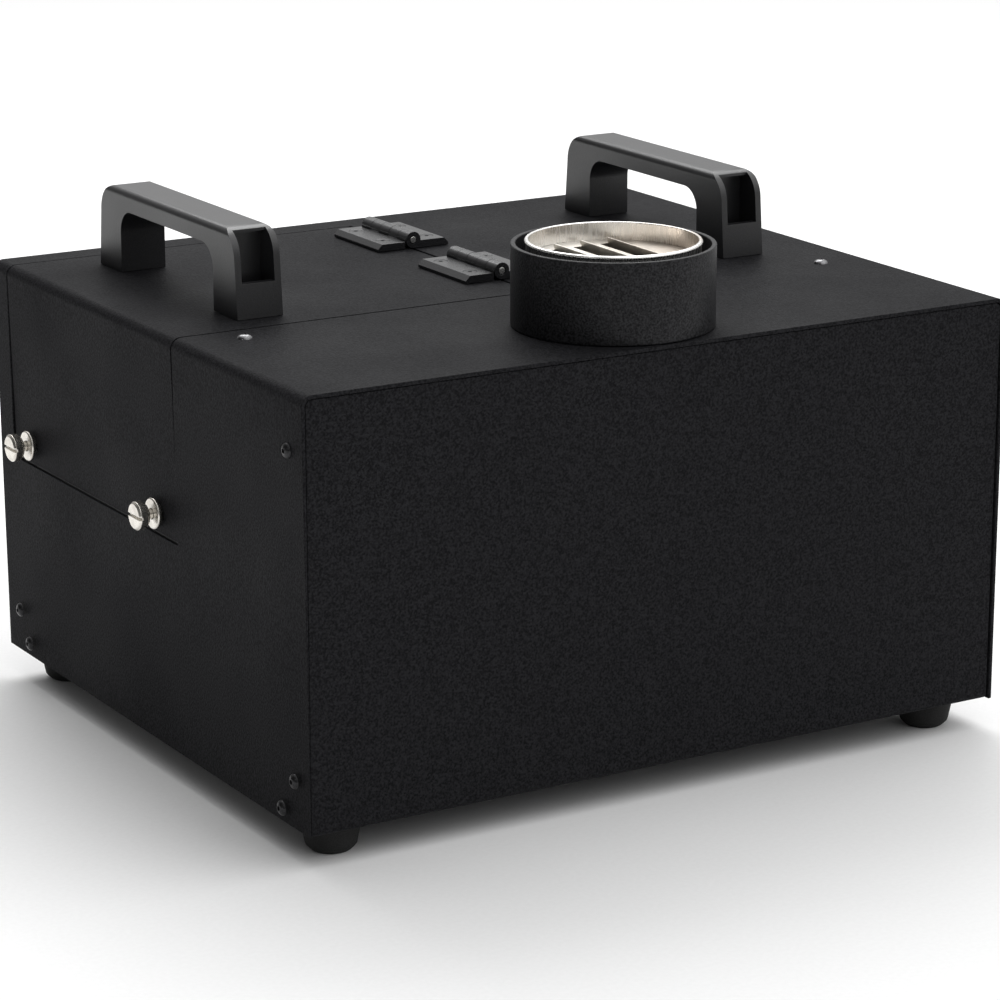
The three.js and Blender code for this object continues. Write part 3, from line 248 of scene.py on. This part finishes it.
# Guard plate and burner cup: pressed stainless sheet. The guard's louvres are cut and raised,
# and both pieces are dulled and faintly tinted by the heat.
GUARD_STEEL = (0.7, 0.68, 0.64)
GUARD_TINT = (0.42, 0.33, 0.25)
GUARD_TINT_FROM = -0.01
GUARD_TINT_TO = 0.09
GUARD_EDGE = 0.0003
guard_steel = heat_tinted("guard_steel", GUARD_STEEL, GUARD_TINT, roughness=0.42,
                          tint_start=liner_centre.x + GUARD_TINT_FROM,
                          tint_end=liner_centre.x + GUARD_TINT_TO)
coated(["guard_plate", "burner_cup"], guard_steel, GUARD_EDGE)

# Handles: hollow mouldings in black plastic with a fine spark-eroded grain and large soft
# edges. The open pocket at each end lets a screwdriver reach the fixing screw.
HANDLE_BLACK = (0.009, 0.009, 0.01)
HANDLE_LIGHTER = (0.017, 0.017, 0.0185)
HANDLE_EDGE = 0.0016
handle_plastic = grained("handle_plastic", HANDLE_BLACK, HANDLE_LIGHTER, roughness=0.33,
                         grain=1500.0, depth=0.00007, level=0.55)
coated(["handle_left", "handle_right"], handle_plastic, HANDLE_EDGE, segments=4)

# Handle screws: one pan-head screw with a square recess in each pocket, zinc plated and
# blackened. Every screw head in this scene is turned as one closed shape.
SCREW_BLACK = (0.014, 0.014, 0.015)
SCREW_WORN = (0.035, 0.035, 0.037)
HANDLE_SCREW_RADIUS = 0.0042
HANDLE_SCREW_HEIGHT = 0.0026
HANDLE_POCKET_FLOOR = 0.0053
HANDLE_POCKET_REACH = 0.0675
DOME_SHARES = (0.35, 0.65, 0.85, 0.95)
HEAD_SIDES = 32
HEAD_EDGE = 0.00015
HEAD_SHARP_DEGREES = 38.0
LARGE_SQUARE_SOCKET = (0.0018, 0.0014, 4)
UP = (0, 0, 1)


def turned_head(name, profile, at, axis, material, body, socket, sides=HEAD_SIDES):
    """A screw head turned from (radius, height) pairs; socket is (radius, depth, corners)."""
    shape = bmesh.new()
    turns = [2 * math.pi * i / sides for i in range(sides)]
    rings = []
    for radius, height in profile:
        if radius == 0.0:
            rings.append([shape.verts.new((0.0, 0.0, height))])
            continue
        rings.append([shape.verts.new((radius * math.cos(turn), radius * math.sin(turn), height))
                      for turn in turns])
    reach, depth, corners = socket
    half_flat = math.pi / corners
    top = profile[-1][1]
    for height in (top, top - depth):
        ring = []
        for turn in turns:
            inward = math.cos(half_flat) / math.cos((turn % (2 * half_flat)) - half_flat)
            ring.append(shape.verts.new((reach * inward * math.cos(turn),
                                         reach * inward * math.sin(turn), height)))
        rings.append(ring)
    rings.append([shape.verts.new((0.0, 0.0, top - depth))])
    for low, high in zip(rings, rings[1:]):
        for i in range(sides):
            j = (i + 1) % sides
            loop = [low[i % len(low)], low[j % len(low)], high[j % len(high)],
                    high[i % len(high)]]
            kept = list(dict.fromkeys(loop))
            if len(kept) > 2:
                shape.faces.new(kept)
    bmesh.ops.recalc_face_normals(shape, faces=shape.faces)
    turn_to = Vector(UP).rotation_difference(Vector(axis)).to_matrix().to_4x4()
    bmesh.ops.transform(shape, matrix=Matrix.Translation(at) @ turn_to, verts=shape.verts)
    for face in shape.faces:
        face.smooth = True
    piece = made_object(shape, name, "shape_" + name, material)
    bevelled(piece, "worn_edges", HEAD_EDGE, segments=2, degrees=HEAD_SHARP_DEGREES)
    even = piece.modifiers.new("even_shading", "WEIGHTED_NORMAL")
    even.keep_sharp = True
    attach(piece, body)


def dome(radius, height):
    """The profile of a dome head from its flat underside to the flat round its socket."""
    return [(0.0, 0.0), (radius, 0.0)] + [(radius * math.sqrt(1.0 - share * share), height * share)
                                          for share in DOME_SHARES]


black_screw = grained("black_screw", SCREW_BLACK, SCREW_WORN, roughness=0.3, grain=1800.0,
                      depth=0.00002, metallic=0.7)
for handle in ("handle_left", "handle_right"):
    low, high = box_corners(handle)
    centre = (low + high) / 2.0
    for end, end_name in ((-1, "front"), (1, "rear")):
        turned_head(f"{handle}_screw_{end_name}", dome(HANDLE_SCREW_RADIUS, HANDLE_SCREW_HEIGHT),
                    (centre.x, centre.y + end * HANDLE_POCKET_REACH, low.z + HANDLE_POCKET_FLOOR),
                    UP, black_screw, BODY_OF[handle], LARGE_SQUARE_SOCKET)

# Hinges: die-cast zinc leaves with five knuckles, black coated with a half gloss, on a steel
# pin whose bright end shows. One leaf is screwed to the cover and the other to the lid.
HINGE_BLACK = (0.008, 0.008, 0.009)
HINGE_LIGHTER = (0.022, 0.022, 0.024)
HINGE_EDGE = 0.0005
PIN_STEEL = (0.6, 0.59, 0.57)
PIN_BRIGHT = (0.8, 0.79, 0.76)
PIN_EDGE = 0.0003
hinge_coat = grained("hinge_coat", HINGE_BLACK, HINGE_LIGHTER, roughness=0.24, grain=1300.0,
                     depth=0.00006, metallic=0.25, level=0.7)
coated(["hinge_leaf_fixed_rear", "hinge_leaf_lid_rear", "hinge_leaf_fixed_front",
        "hinge_leaf_lid_front"], hinge_coat, HINGE_EDGE, segments=3)
pin_steel = grained("pin_steel", PIN_STEEL, PIN_BRIGHT, roughness=0.24, grain=1200.0,
                    depth=0.00001, metallic=1.0)
coated(["hinge_pin_rear", "hinge_pin_front"], pin_steel, PIN_EDGE)

# Hinge screws: countersunk and blackened, four to each hinge. Their heads lie level with the
# leaf, in the holes that the CAD leaf has.
HINGE_HOLE_OUT = 0.0135
HINGE_HOLE_ALONG = 0.015
HINGE_LEAF_HEIGHT = 0.004
HINGE_SCREW_SUNK = 0.0017
HINGE_SCREW_PROFILE = [(0.0, 0.0), (0.0019, 0.0), (0.0034, 0.0014), (0.0033, 0.0016)]
SMALL_SQUARE_SOCKET = (0.0014, 0.001, 4)
for name in ("rear", "front"):
    pin_low, pin_high = box_corners("hinge_pin_" + name)
    pin_x = (pin_low.x + pin_high.x) / 2.0
    pin_y = (pin_low.y + pin_high.y) / 2.0
    for side, side_name in ((1, "fixed"), (-1, "lid")):
        leaf = f"hinge_leaf_{side_name}_{name}"
        leaf_low = box_corners(leaf)[0]
        for end, number in ((-1, 1), (1, 3)):
            at = (pin_x + side * HINGE_HOLE_OUT, pin_y + end * HINGE_HOLE_ALONG,
                  leaf_low.z + HINGE_LEAF_HEIGHT - HINGE_SCREW_SUNK)
            turned_head(f"hinge_screw_{name}_{side_name}_{number}", HINGE_SCREW_PROFILE, at, UP,
                        black_screw, BODY_OF[leaf], SMALL_SQUARE_SOCKET)

# Thumb screws: nickel-plated heads with a screwdriver slot and turned faces, their washers,
# and the ferrules that are pressed into the lid's side.
NICKEL = (0.62, 0.59, 0.54)
NICKEL_BRIGHT = (0.8, 0.77, 0.71)
THUMB_SCREW_EDGE = 0.0004
WASHER_EDGE = 0.0002
FERRULE_EDGE = 0.0003
nickel = grained("turned_nickel", NICKEL, NICKEL_BRIGHT, roughness=0.26, grain=700.0,
                 depth=0.00003, metallic=1.0, stretch=(1.0, 0.2, 0.2))
for place in ("front", "rear"):
    rounded("thumb_screw_" + place, nickel, THUMB_SCREW_EDGE, segments=3)
    rounded("screw_washer_" + place, nickel, WASHER_EDGE)
    rounded("screw_ferrule_" + place, nickel, FERRULE_EDGE, segments=3)

# Feet: moulded black rubber, one under each corner of the base pan. Each is held by a bright
# screw, sunk in a recess in its middle.
FEET = ["foot_front_left", "foot_front_right", "foot_rear_left", "foot_rear_right"]
RUBBER = (0.009, 0.009, 0.009)
RUBBER_LIGHTER = (0.018, 0.018, 0.018)
FOOT_EDGE = 0.0008
FOOT_SCREW_STEEL = (0.5, 0.5, 0.49)
FOOT_SCREW_BRIGHT = (0.66, 0.66, 0.64)
FOOT_SCREW_RADIUS = 0.004
FOOT_SCREW_HEIGHT = 0.0024
FOOT_RECESS_TOP = 0.0069
foot_rubber = grained("foot_rubber", RUBBER, RUBBER_LIGHTER, roughness=0.75, grain=1600.0,
                      depth=0.0001, level=0.3)
coated(FEET, foot_rubber, FOOT_EDGE, segments=3)
foot_screw_steel = grained("foot_screw_steel", FOOT_SCREW_STEEL, FOOT_SCREW_BRIGHT,
                           roughness=0.34, grain=900.0, depth=0.00002, metallic=1.0)
for foot in FEET:
    low, high = box_corners(foot)
    middle = (low + high) / 2.0
    turned_head(foot + "_screw", dome(FOOT_SCREW_RADIUS, FOOT_SCREW_HEIGHT),
                (middle.x, middle.y, FOOT_RECESS_TOP), (0, 0, -1), foot_screw_steel,
                BODY_OF[foot], LARGE_SQUARE_SOCKET)

# Cover screws: dome heads with a hexagon socket. Five blackened ones hold the cover's left side
# and two its top, where the photograph shows them. The top two get a lighter grey metal than the
# black of the others: painted highlight for the shine they catch from the light above.
CASE_MIDDLE_X = 0.0058
CASE_LEFT = -0.2
CASE_FLOOR = 0.016
CASE_TOP = 0.228
CASE_SCREW_RADIUS = 0.0038
CASE_SCREW_HEIGHT = 0.0021
HEXAGON_SOCKET = (0.0013, 0.0011, 6)
LEFT_SCREWS = ((-0.1584, 0.1837), (-0.1608, 0.0254), (-0.1478, 0.0083), (0.1532, 0.0246),
               (0.1421, 0.0087))
TOP_SCREWS = ((-0.169, -0.057), (0.169, -0.057))
# Lighter grey metal for the two top screws: painted highlight for their shine, not a different
# plating.
TOP_SCREW_HIGHLIGHT_GREY = (0.12, 0.12, 0.125)
TOP_SCREW_HIGHLIGHT_GREY_WORN = (0.24, 0.24, 0.245)


def case_screw(name, at, axis, material):
    """One of the dome-head screws that hold the case together."""
    turned_head(name, dome(CASE_SCREW_RADIUS, CASE_SCREW_HEIGHT), at, axis, material,
                "case", HEXAGON_SOCKET)


for number, (along, above) in enumerate(LEFT_SCREWS, 1):
    case_screw(f"cover_screw_left_{number}",
               (CASE_LEFT + CASE_MIDDLE_X, along, CASE_FLOOR + above), (-1, 0, 0), black_screw)
# The top screws' lighter grey metal is painted highlight, standing in for the shine they catch
# from above.
top_screw_highlight_metal = grained("top_screw_highlight_metal", TOP_SCREW_HIGHLIGHT_GREY, TOP_SCREW_HIGHLIGHT_GREY_WORN, roughness=0.24,
                      grain=1400.0, depth=0.00002, metallic=1.0)
for number, (across, along) in enumerate(TOP_SCREWS, 1):
    case_screw(f"cover_screw_top_{number}", (across + CASE_MIDDLE_X, along, CASE_TOP), UP,
               top_screw_highlight_metal)

# Rear panel fittings: moulded and plated flange parts, a rocker and a dark display front with
# four rubber keys, screwed or snapped into the panel. All faces are without writing.
PANEL_PLASTIC = (0.012, 0.012, 0.013)
PANEL_PLASTIC_LIGHTER = (0.02, 0.02, 0.022)
FITTING_EDGE = 0.0003
KEY_RUBBER = (0.05, 0.052, 0.056)
KEY_RUBBER_LIGHTER = (0.07, 0.072, 0.077)
KEY_EDGE = 0.0007
FLANGE_NICKEL = (0.5, 0.49, 0.46)
FLANGE_NICKEL_BRIGHT = (0.66, 0.64, 0.6)
DISPLAY_PLASTIC = (0.02, 0.021, 0.023)
DISPLAY_PLASTIC_LIGHTER = (0.027, 0.028, 0.031)
DISPLAY_EDGE = 0.0005
panel_plastic = grained("panel_plastic", PANEL_PLASTIC, PANEL_PLASTIC_LIGHTER, roughness=0.42,
                        grain=2600.0, depth=0.00004)
coated(["data_out", "mains_inlet", "switch_frame", "switch_rocker"], panel_plastic, FITTING_EDGE)
key_rubber = grained("key_rubber", KEY_RUBBER, KEY_RUBBER_LIGHTER, roughness=0.6, grain=1800.0,
                     depth=0.00005)
coated(["menu_key_1", "menu_key_2", "menu_key_3", "menu_key_4"], key_rubber, KEY_EDGE, segments=3)
flange_nickel = grained("flange_nickel", FLANGE_NICKEL, FLANGE_NICKEL_BRIGHT, roughness=0.34,
                        grain=1400.0, depth=0.00003, metallic=1.0)
coated(["data_in", "data_out_latch"], flange_nickel, FITTING_EDGE)
display_plastic = grained("display_front", DISPLAY_PLASTIC, DISPLAY_PLASTIC_LIGHTER,
                          roughness=0.5, grain=2200.0, depth=0.00004, level=0.2)
coated(["display_panel"], display_plastic, DISPLAY_EDGE, segments=3)

# Display glass: a dark window with rounded corners, glued into the display front's recess. It
# is off, so only a faint grey-green field shows behind the gloss.
GLASS_DARK = (0.012, 0.018, 0.016)
GLASS_LIGHTER = (0.018, 0.026, 0.023)
GLASS_CENTRE = (0.0438, 0.134)
GLASS_SIZE = (0.0354, 0.0154)
GLASS_CORNER = 0.0012
GLASS_CORNER_STEPS = 5
GLASS_BACK = 0.16935
GLASS_FRONT = 0.1701
GLASS_EDGE = 0.0002
GLASS_SHARP_DEGREES = 30.0
glass_shape = bmesh.new()
outline = []
for quarter, (across, up) in enumerate(((1, 1), (-1, 1), (-1, -1), (1, -1))):
    corner_x = GLASS_CENTRE[0] + across * (GLASS_SIZE[0] / 2 - GLASS_CORNER)
    corner_z = GLASS_CENTRE[1] + up * (GLASS_SIZE[1] / 2 - GLASS_CORNER)
    for step in range(GLASS_CORNER_STEPS + 1):
        turn = math.pi / 2 * (quarter + step / GLASS_CORNER_STEPS)
        outline.append((corner_x + GLASS_CORNER * math.cos(turn),
                        corner_z + GLASS_CORNER * math.sin(turn)))
back = [glass_shape.verts.new((x, GLASS_BACK, z)) for x, z in outline]
front = [glass_shape.verts.new((x, GLASS_FRONT, z)) for x, z in outline]
glass_shape.faces.new(back)
glass_shape.faces.new(front)
for i in range(len(outline)):
    j = (i + 1) % len(outline)
    glass_shape.faces.new((back[i], back[j], front[j], front[i]))
bmesh.ops.recalc_face_normals(glass_shape, faces=glass_shape.faces)
dark_glass = grained("display_glass", GLASS_DARK, GLASS_LIGHTER, roughness=0.06, grain=2400.0,
                     depth=0.000002)
display_glass = made_object(glass_shape, "display_glass", "shape_display_glass", dark_glass)
bevelled(display_glass, "polished_edge", GLASS_EDGE, segments=2, degrees=GLASS_SHARP_DEGREES)
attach(display_glass, "case")

# Rear panel screws: the same blackened dome heads, one near each corner of the panel, driven
# into the flanges of cover and base pan.
REAR_FACE = 0.167
REAR_SCREWS = ((-0.182, 0.014), (0.182, 0.014), (-0.182, 0.196), (0.182, 0.196))
for number, (across, above) in enumerate(REAR_SCREWS, 1):
    case_screw(f"rear_panel_screw_{number}",
               (across + CASE_MIDDLE_X, REAR_FACE, CASE_FLOOR + above), (0, 1, 0), black_screw)

# Flange screws: one small low dome screw at two opposite corners of each of the three
# connectors, blackened like the others.
FLANGE_SCREW_INSET = 0.0033
FLANGE_SCREW_RADIUS = 0.0019
FLANGE_SCREW_HEIGHT = 0.0008
FLANGE_SCREW_SIDES = 24
TINY_SQUARE_SOCKET = (0.0009, 0.0006, 4)
for node in ("data_in", "data_out", "mains_inlet"):
    low, high = box_corners(node)
    for number, across, up in ((1, low.x + FLANGE_SCREW_INSET, high.z - FLANGE_SCREW_INSET),
                               (2, high.x - FLANGE_SCREW_INSET, low.z + FLANGE_SCREW_INSET)):
        turned_head(f"{node}_screw_{number}", dome(FLANGE_SCREW_RADIUS, FLANGE_SCREW_HEIGHT),
                    (across, high.y, up), (0, 1, 0), black_screw, "case",
                    TINY_SQUARE_SOCKET, sides=FLANGE_SCREW_SIDES)

# Inner sheet parts: folded zinc-coated steel with its crystalline spangle, and the lid's ledge
# frame, which is painted matt black.
ZINC = (0.42, 0.44, 0.45)
ZINC_DARKER = (0.36, 0.38, 0.39)
ZINC_LIGHTER = (0.5, 0.52, 0.53)
SPANGLES_PER_METRE = 120.0
ZINC_EDGE = 0.0002
LEDGE_BLACK = (0.012, 0.012, 0.013)
LEDGE_LIGHTER = (0.02, 0.02, 0.022)
LEDGE_EDGE = 0.0003
zinc, zinc_nodes, zinc_links, zinc_shader = new_material("zinc_sheet", ZINC, roughness=0.42,
                                                         metallic=1.0)
zinc_place = zinc_nodes.new("ShaderNodeTexCoord")
spangles = zinc_nodes.new("ShaderNodeTexVoronoi")
spangles.inputs["Scale"].default_value = SPANGLES_PER_METRE
zinc_links.new(zinc_place.outputs["Object"], spangles.inputs["Vector"])
spangle_values = zinc_nodes.new("ShaderNodeSeparateColor")
zinc_links.new(spangles.outputs["Color"], spangle_values.inputs["Color"])
mixed_colour(zinc_nodes, zinc_links, spangle_values.outputs["Red"], ZINC_DARKER, ZINC_LIGHTER,
             zinc_shader.inputs["Base Color"], start=0.0, end=1.0)
ranged(zinc_nodes, zinc_links, spangle_values.outputs["Green"], low=0.34, high=0.52,
       into=zinc_shader.inputs["Roughness"], start=0.0, end=1.0)
coated(["firewall", "bulkhead", "can_bracket", "lid_nut_front", "lid_nut_rear"], zinc, ZINC_EDGE)
ledge_coat = grained("ledge_coat", LEDGE_BLACK, LEDGE_LIGHTER, roughness=0.6, grain=1900.0,
                     depth=0.00008)
coated(["lid_ledge"], ledge_coat, LEDGE_EDGE)

# Fuel side: a plain white lacquered canister held by a spring-steel clip on an aluminium dock,
# with a turned brass valve and jet and drawn copper pipes. The power supply's box is of the
# dock's alloy.
CAN_WHITE = (0.72, 0.72, 0.7)
CAN_LIGHTER = (0.77, 0.77, 0.75)
CAN_EDGE = 0.0004
ALLOY = (0.5, 0.51, 0.52)
ALLOY_BRIGHT = (0.62, 0.63, 0.64)
ALLOY_EDGE = 0.0004
CLIP_STEEL = (0.5, 0.49, 0.47)
CLIP_BRIGHT = (0.64, 0.63, 0.6)
CLIP_EDGE = 0.0002
BRASS = (0.52, 0.34, 0.11)
BRASS_BRIGHT = (0.66, 0.46, 0.18)
BRASS_EDGE = 0.0003
COPPER = (0.48, 0.2, 0.1)
COPPER_BRIGHT = (0.6, 0.29, 0.16)
NO_EDGE = 0.0
can_lacquer = grained("can_lacquer", CAN_WHITE, CAN_LIGHTER, roughness=0.22, grain=260.0,
                      depth=0.00001)
coated(["fuel_can"], can_lacquer, CAN_EDGE, segments=3)
dock_alloy = grained("dock_alloy", ALLOY, ALLOY_BRIGHT, roughness=0.34, grain=800.0,
                     depth=0.00002, metallic=1.0, stretch=(1.0, 0.08, 1.0))
coated(["can_dock", "power_supply"], dock_alloy, ALLOY_EDGE)
clip_steel = grained("clip_steel", CLIP_STEEL, CLIP_BRIGHT, roughness=0.3, grain=900.0,
                     depth=0.00002, metallic=1.0, stretch=(1.0, 1.0, 0.1))
coated(["can_clip"], clip_steel, CLIP_EDGE)
turned_brass = grained("turned_brass", BRASS, BRASS_BRIGHT, roughness=0.3, grain=1000.0,
                       depth=0.00002, metallic=1.0)
coated(["valve_body", "burner_jet"], turned_brass, BRASS_EDGE)
pipe_copper = grained("pipe_copper", COPPER, COPPER_BRIGHT, roughness=0.3, grain=240.0,
                      depth=0.00001, metallic=1.0)
coated(["supply_pipe", "burner_pipe"], pipe_copper, NO_EDGE)

# Electric side: the valve's coil and the transformer are cast in resin, and the circuit board
# is green. Glazed insulators carry the wire electrodes, fed by silicone-covered leads.
RESIN = (0.014, 0.014, 0.016)
RESIN_LIGHTER = (0.026, 0.026, 0.029)
RESIN_EDGE = 0.0005
BOARD_GREEN = (0.014, 0.1, 0.05)
BOARD_LIGHTER = (0.02, 0.14, 0.07)
BOARD_EDGE = 0.0002
GLAZE = (0.8, 0.77, 0.68)
GLAZE_LIGHTER = (0.86, 0.84, 0.77)
GLAZE_EDGE = 0.0004
LEAD_RED = (0.26, 0.03, 0.02)
LEAD_LIGHTER = (0.34, 0.05, 0.03)
cast_resin = grained("cast_resin", RESIN, RESIN_LIGHTER, roughness=0.5, grain=700.0,
                     depth=0.00005)
coated(["valve_coil", "ignition_transformer"], cast_resin, RESIN_EDGE)
solder_mask = grained("solder_mask", BOARD_GREEN, BOARD_LIGHTER, roughness=0.3, grain=500.0,
                      depth=0.00002)
coated(["control_board"], solder_mask, BOARD_EDGE)
glaze = grained("glaze", GLAZE, GLAZE_LIGHTER, roughness=0.16, grain=220.0, depth=0.00001)
coated(["electrode_insulator_left", "electrode_insulator_right"], glaze, GLAZE_EDGE)
coated(["electrode_left", "electrode_right"], pin_steel, NO_EDGE)
lead_sleeve = grained("lead_sleeve", LEAD_RED, LEAD_LIGHTER, roughness=0.5, grain=900.0,
                      depth=0.00003)
coated(["ignition_lead_left", "ignition_lead_right"], lead_sleeve, NO_EDGE)

# Studio: a pale paper floor that runs out flat behind the machine until it meets the bright
# surround, with a very fine grain.
FLOOR_WHITE = (0.86, 0.86, 0.86)
FLOOR_LIGHTER = (0.88, 0.88, 0.88)
FLOOR_HALF = 14.0
FLOOR_SQUARES = 8
floor_shape = bmesh.new()
bmesh.ops.create_grid(floor_shape, x_segments=FLOOR_SQUARES, y_segments=FLOOR_SQUARES,
                      size=FLOOR_HALF)
floor_paper = grained("floor_paper", FLOOR_WHITE, FLOOR_LIGHTER, roughness=0.9, grain=400.0,
                      depth=0.00002, level=0.1)
floor = made_object(floor_shape, "studio_floor", "studio_floor", floor_paper)

# Light: a pale surround, brightest overhead and dimmer to the left, a broad softbox above and
# behind that greys the top, and a small one at the left front for the bright screws.
world = bpy.data.worlds.new("studio")
bpy.context.scene.world = world
world.use_nodes = True
sky_nodes = world.node_tree.nodes
sky_links = world.node_tree.links
sky = sky_nodes["Background"]
sky.inputs["Color"].default_value = (1.0, 1.0, 1.0, 1.0)
sky_place = sky_nodes.new("ShaderNodeTexCoord")
sky_split = sky_nodes.new("ShaderNodeSeparateXYZ")
sky_links.new(sky_place.outputs["Generated"], sky_split.inputs["Vector"])
sky_level = sky_nodes.new("ShaderNodeMath")
sky_level.operation = "MULTIPLY"
ranged(sky_nodes, sky_links, sky_split.outputs["Z"], low=0.5, high=1.9,
       into=sky_level.inputs[0], start=0.15, end=0.9)
ranged(sky_nodes, sky_links, sky_split.outputs["X"], low=0.08, high=1.08,
       into=sky_level.inputs[1], start=-0.65, end=0.25)
sky_links.new(sky_level.outputs["Value"], sky.inputs["Strength"])


def softbox(name, at, towards, width, height, power):
    """A rectangular lamp at one point, turned towards another. Sizes in metres, power in watts."""
    light = bpy.data.lights.new(name, "AREA")
    light.shape = "RECTANGLE"
    light.size = width
    light.size_y = height
    light.energy = power
    lamp = bpy.data.objects.new(name, light)
    bpy.context.collection.objects.link(lamp)
    lamp.location = at
    lamp.rotation_euler = (Vector(towards) - Vector(at)).to_track_quat("-Z", "Y").to_euler()


softbox("top_softbox", at=(0.5, 1.3, 1.9), towards=(0.0, 0.0, 0.2), width=1.8, height=1.2,
        power=27.0)
softbox("side_softbox", at=(-1.7, -0.9, 1.1), towards=(-0.2, 0.0, 0.15), width=0.3, height=0.4,
        power=1.1)

# Camera: at the place from which the case's corners fit those in the photograph best, looking
# towards the rear right and slightly down.
CAMERA_AT = Vector((-0.928, -1.5729, 0.6221))
CAMERA_AZIMUTH = math.radians(30.892)
CAMERA_DOWN = math.radians(15.65)
SENSOR_WIDTH_MM = 36.0
LENS_MM = 130.84
FARTHEST = 100.0
ahead = Vector((math.sin(CAMERA_AZIMUTH) * math.cos(CAMERA_DOWN),
                math.cos(CAMERA_AZIMUTH) * math.cos(CAMERA_DOWN), -math.sin(CAMERA_DOWN)))
right = Vector((math.cos(CAMERA_AZIMUTH), -math.sin(CAMERA_AZIMUTH), 0.0))
above = right.cross(ahead)
camera_data = bpy.data.cameras.new("photo_camera")
camera_data.sensor_width = SENSOR_WIDTH_MM
camera_data.lens = LENS_MM
camera_data.clip_end = FARTHEST
camera = bpy.data.objects.new("photo_camera", camera_data)
bpy.context.collection.objects.link(camera)
camera.matrix_world = Matrix((
    (right.x, above.x, -ahead.x, CAMERA_AT.x),
    (right.y, above.y, -ahead.y, CAMERA_AT.y),
    (right.z, above.z, -ahead.z, CAMERA_AT.z),
    (0.0, 0.0, 0.0, 1.0)))
bpy.context.scene.camera = camera
bpy.context.scene.view_settings.view_transform = "Standard"
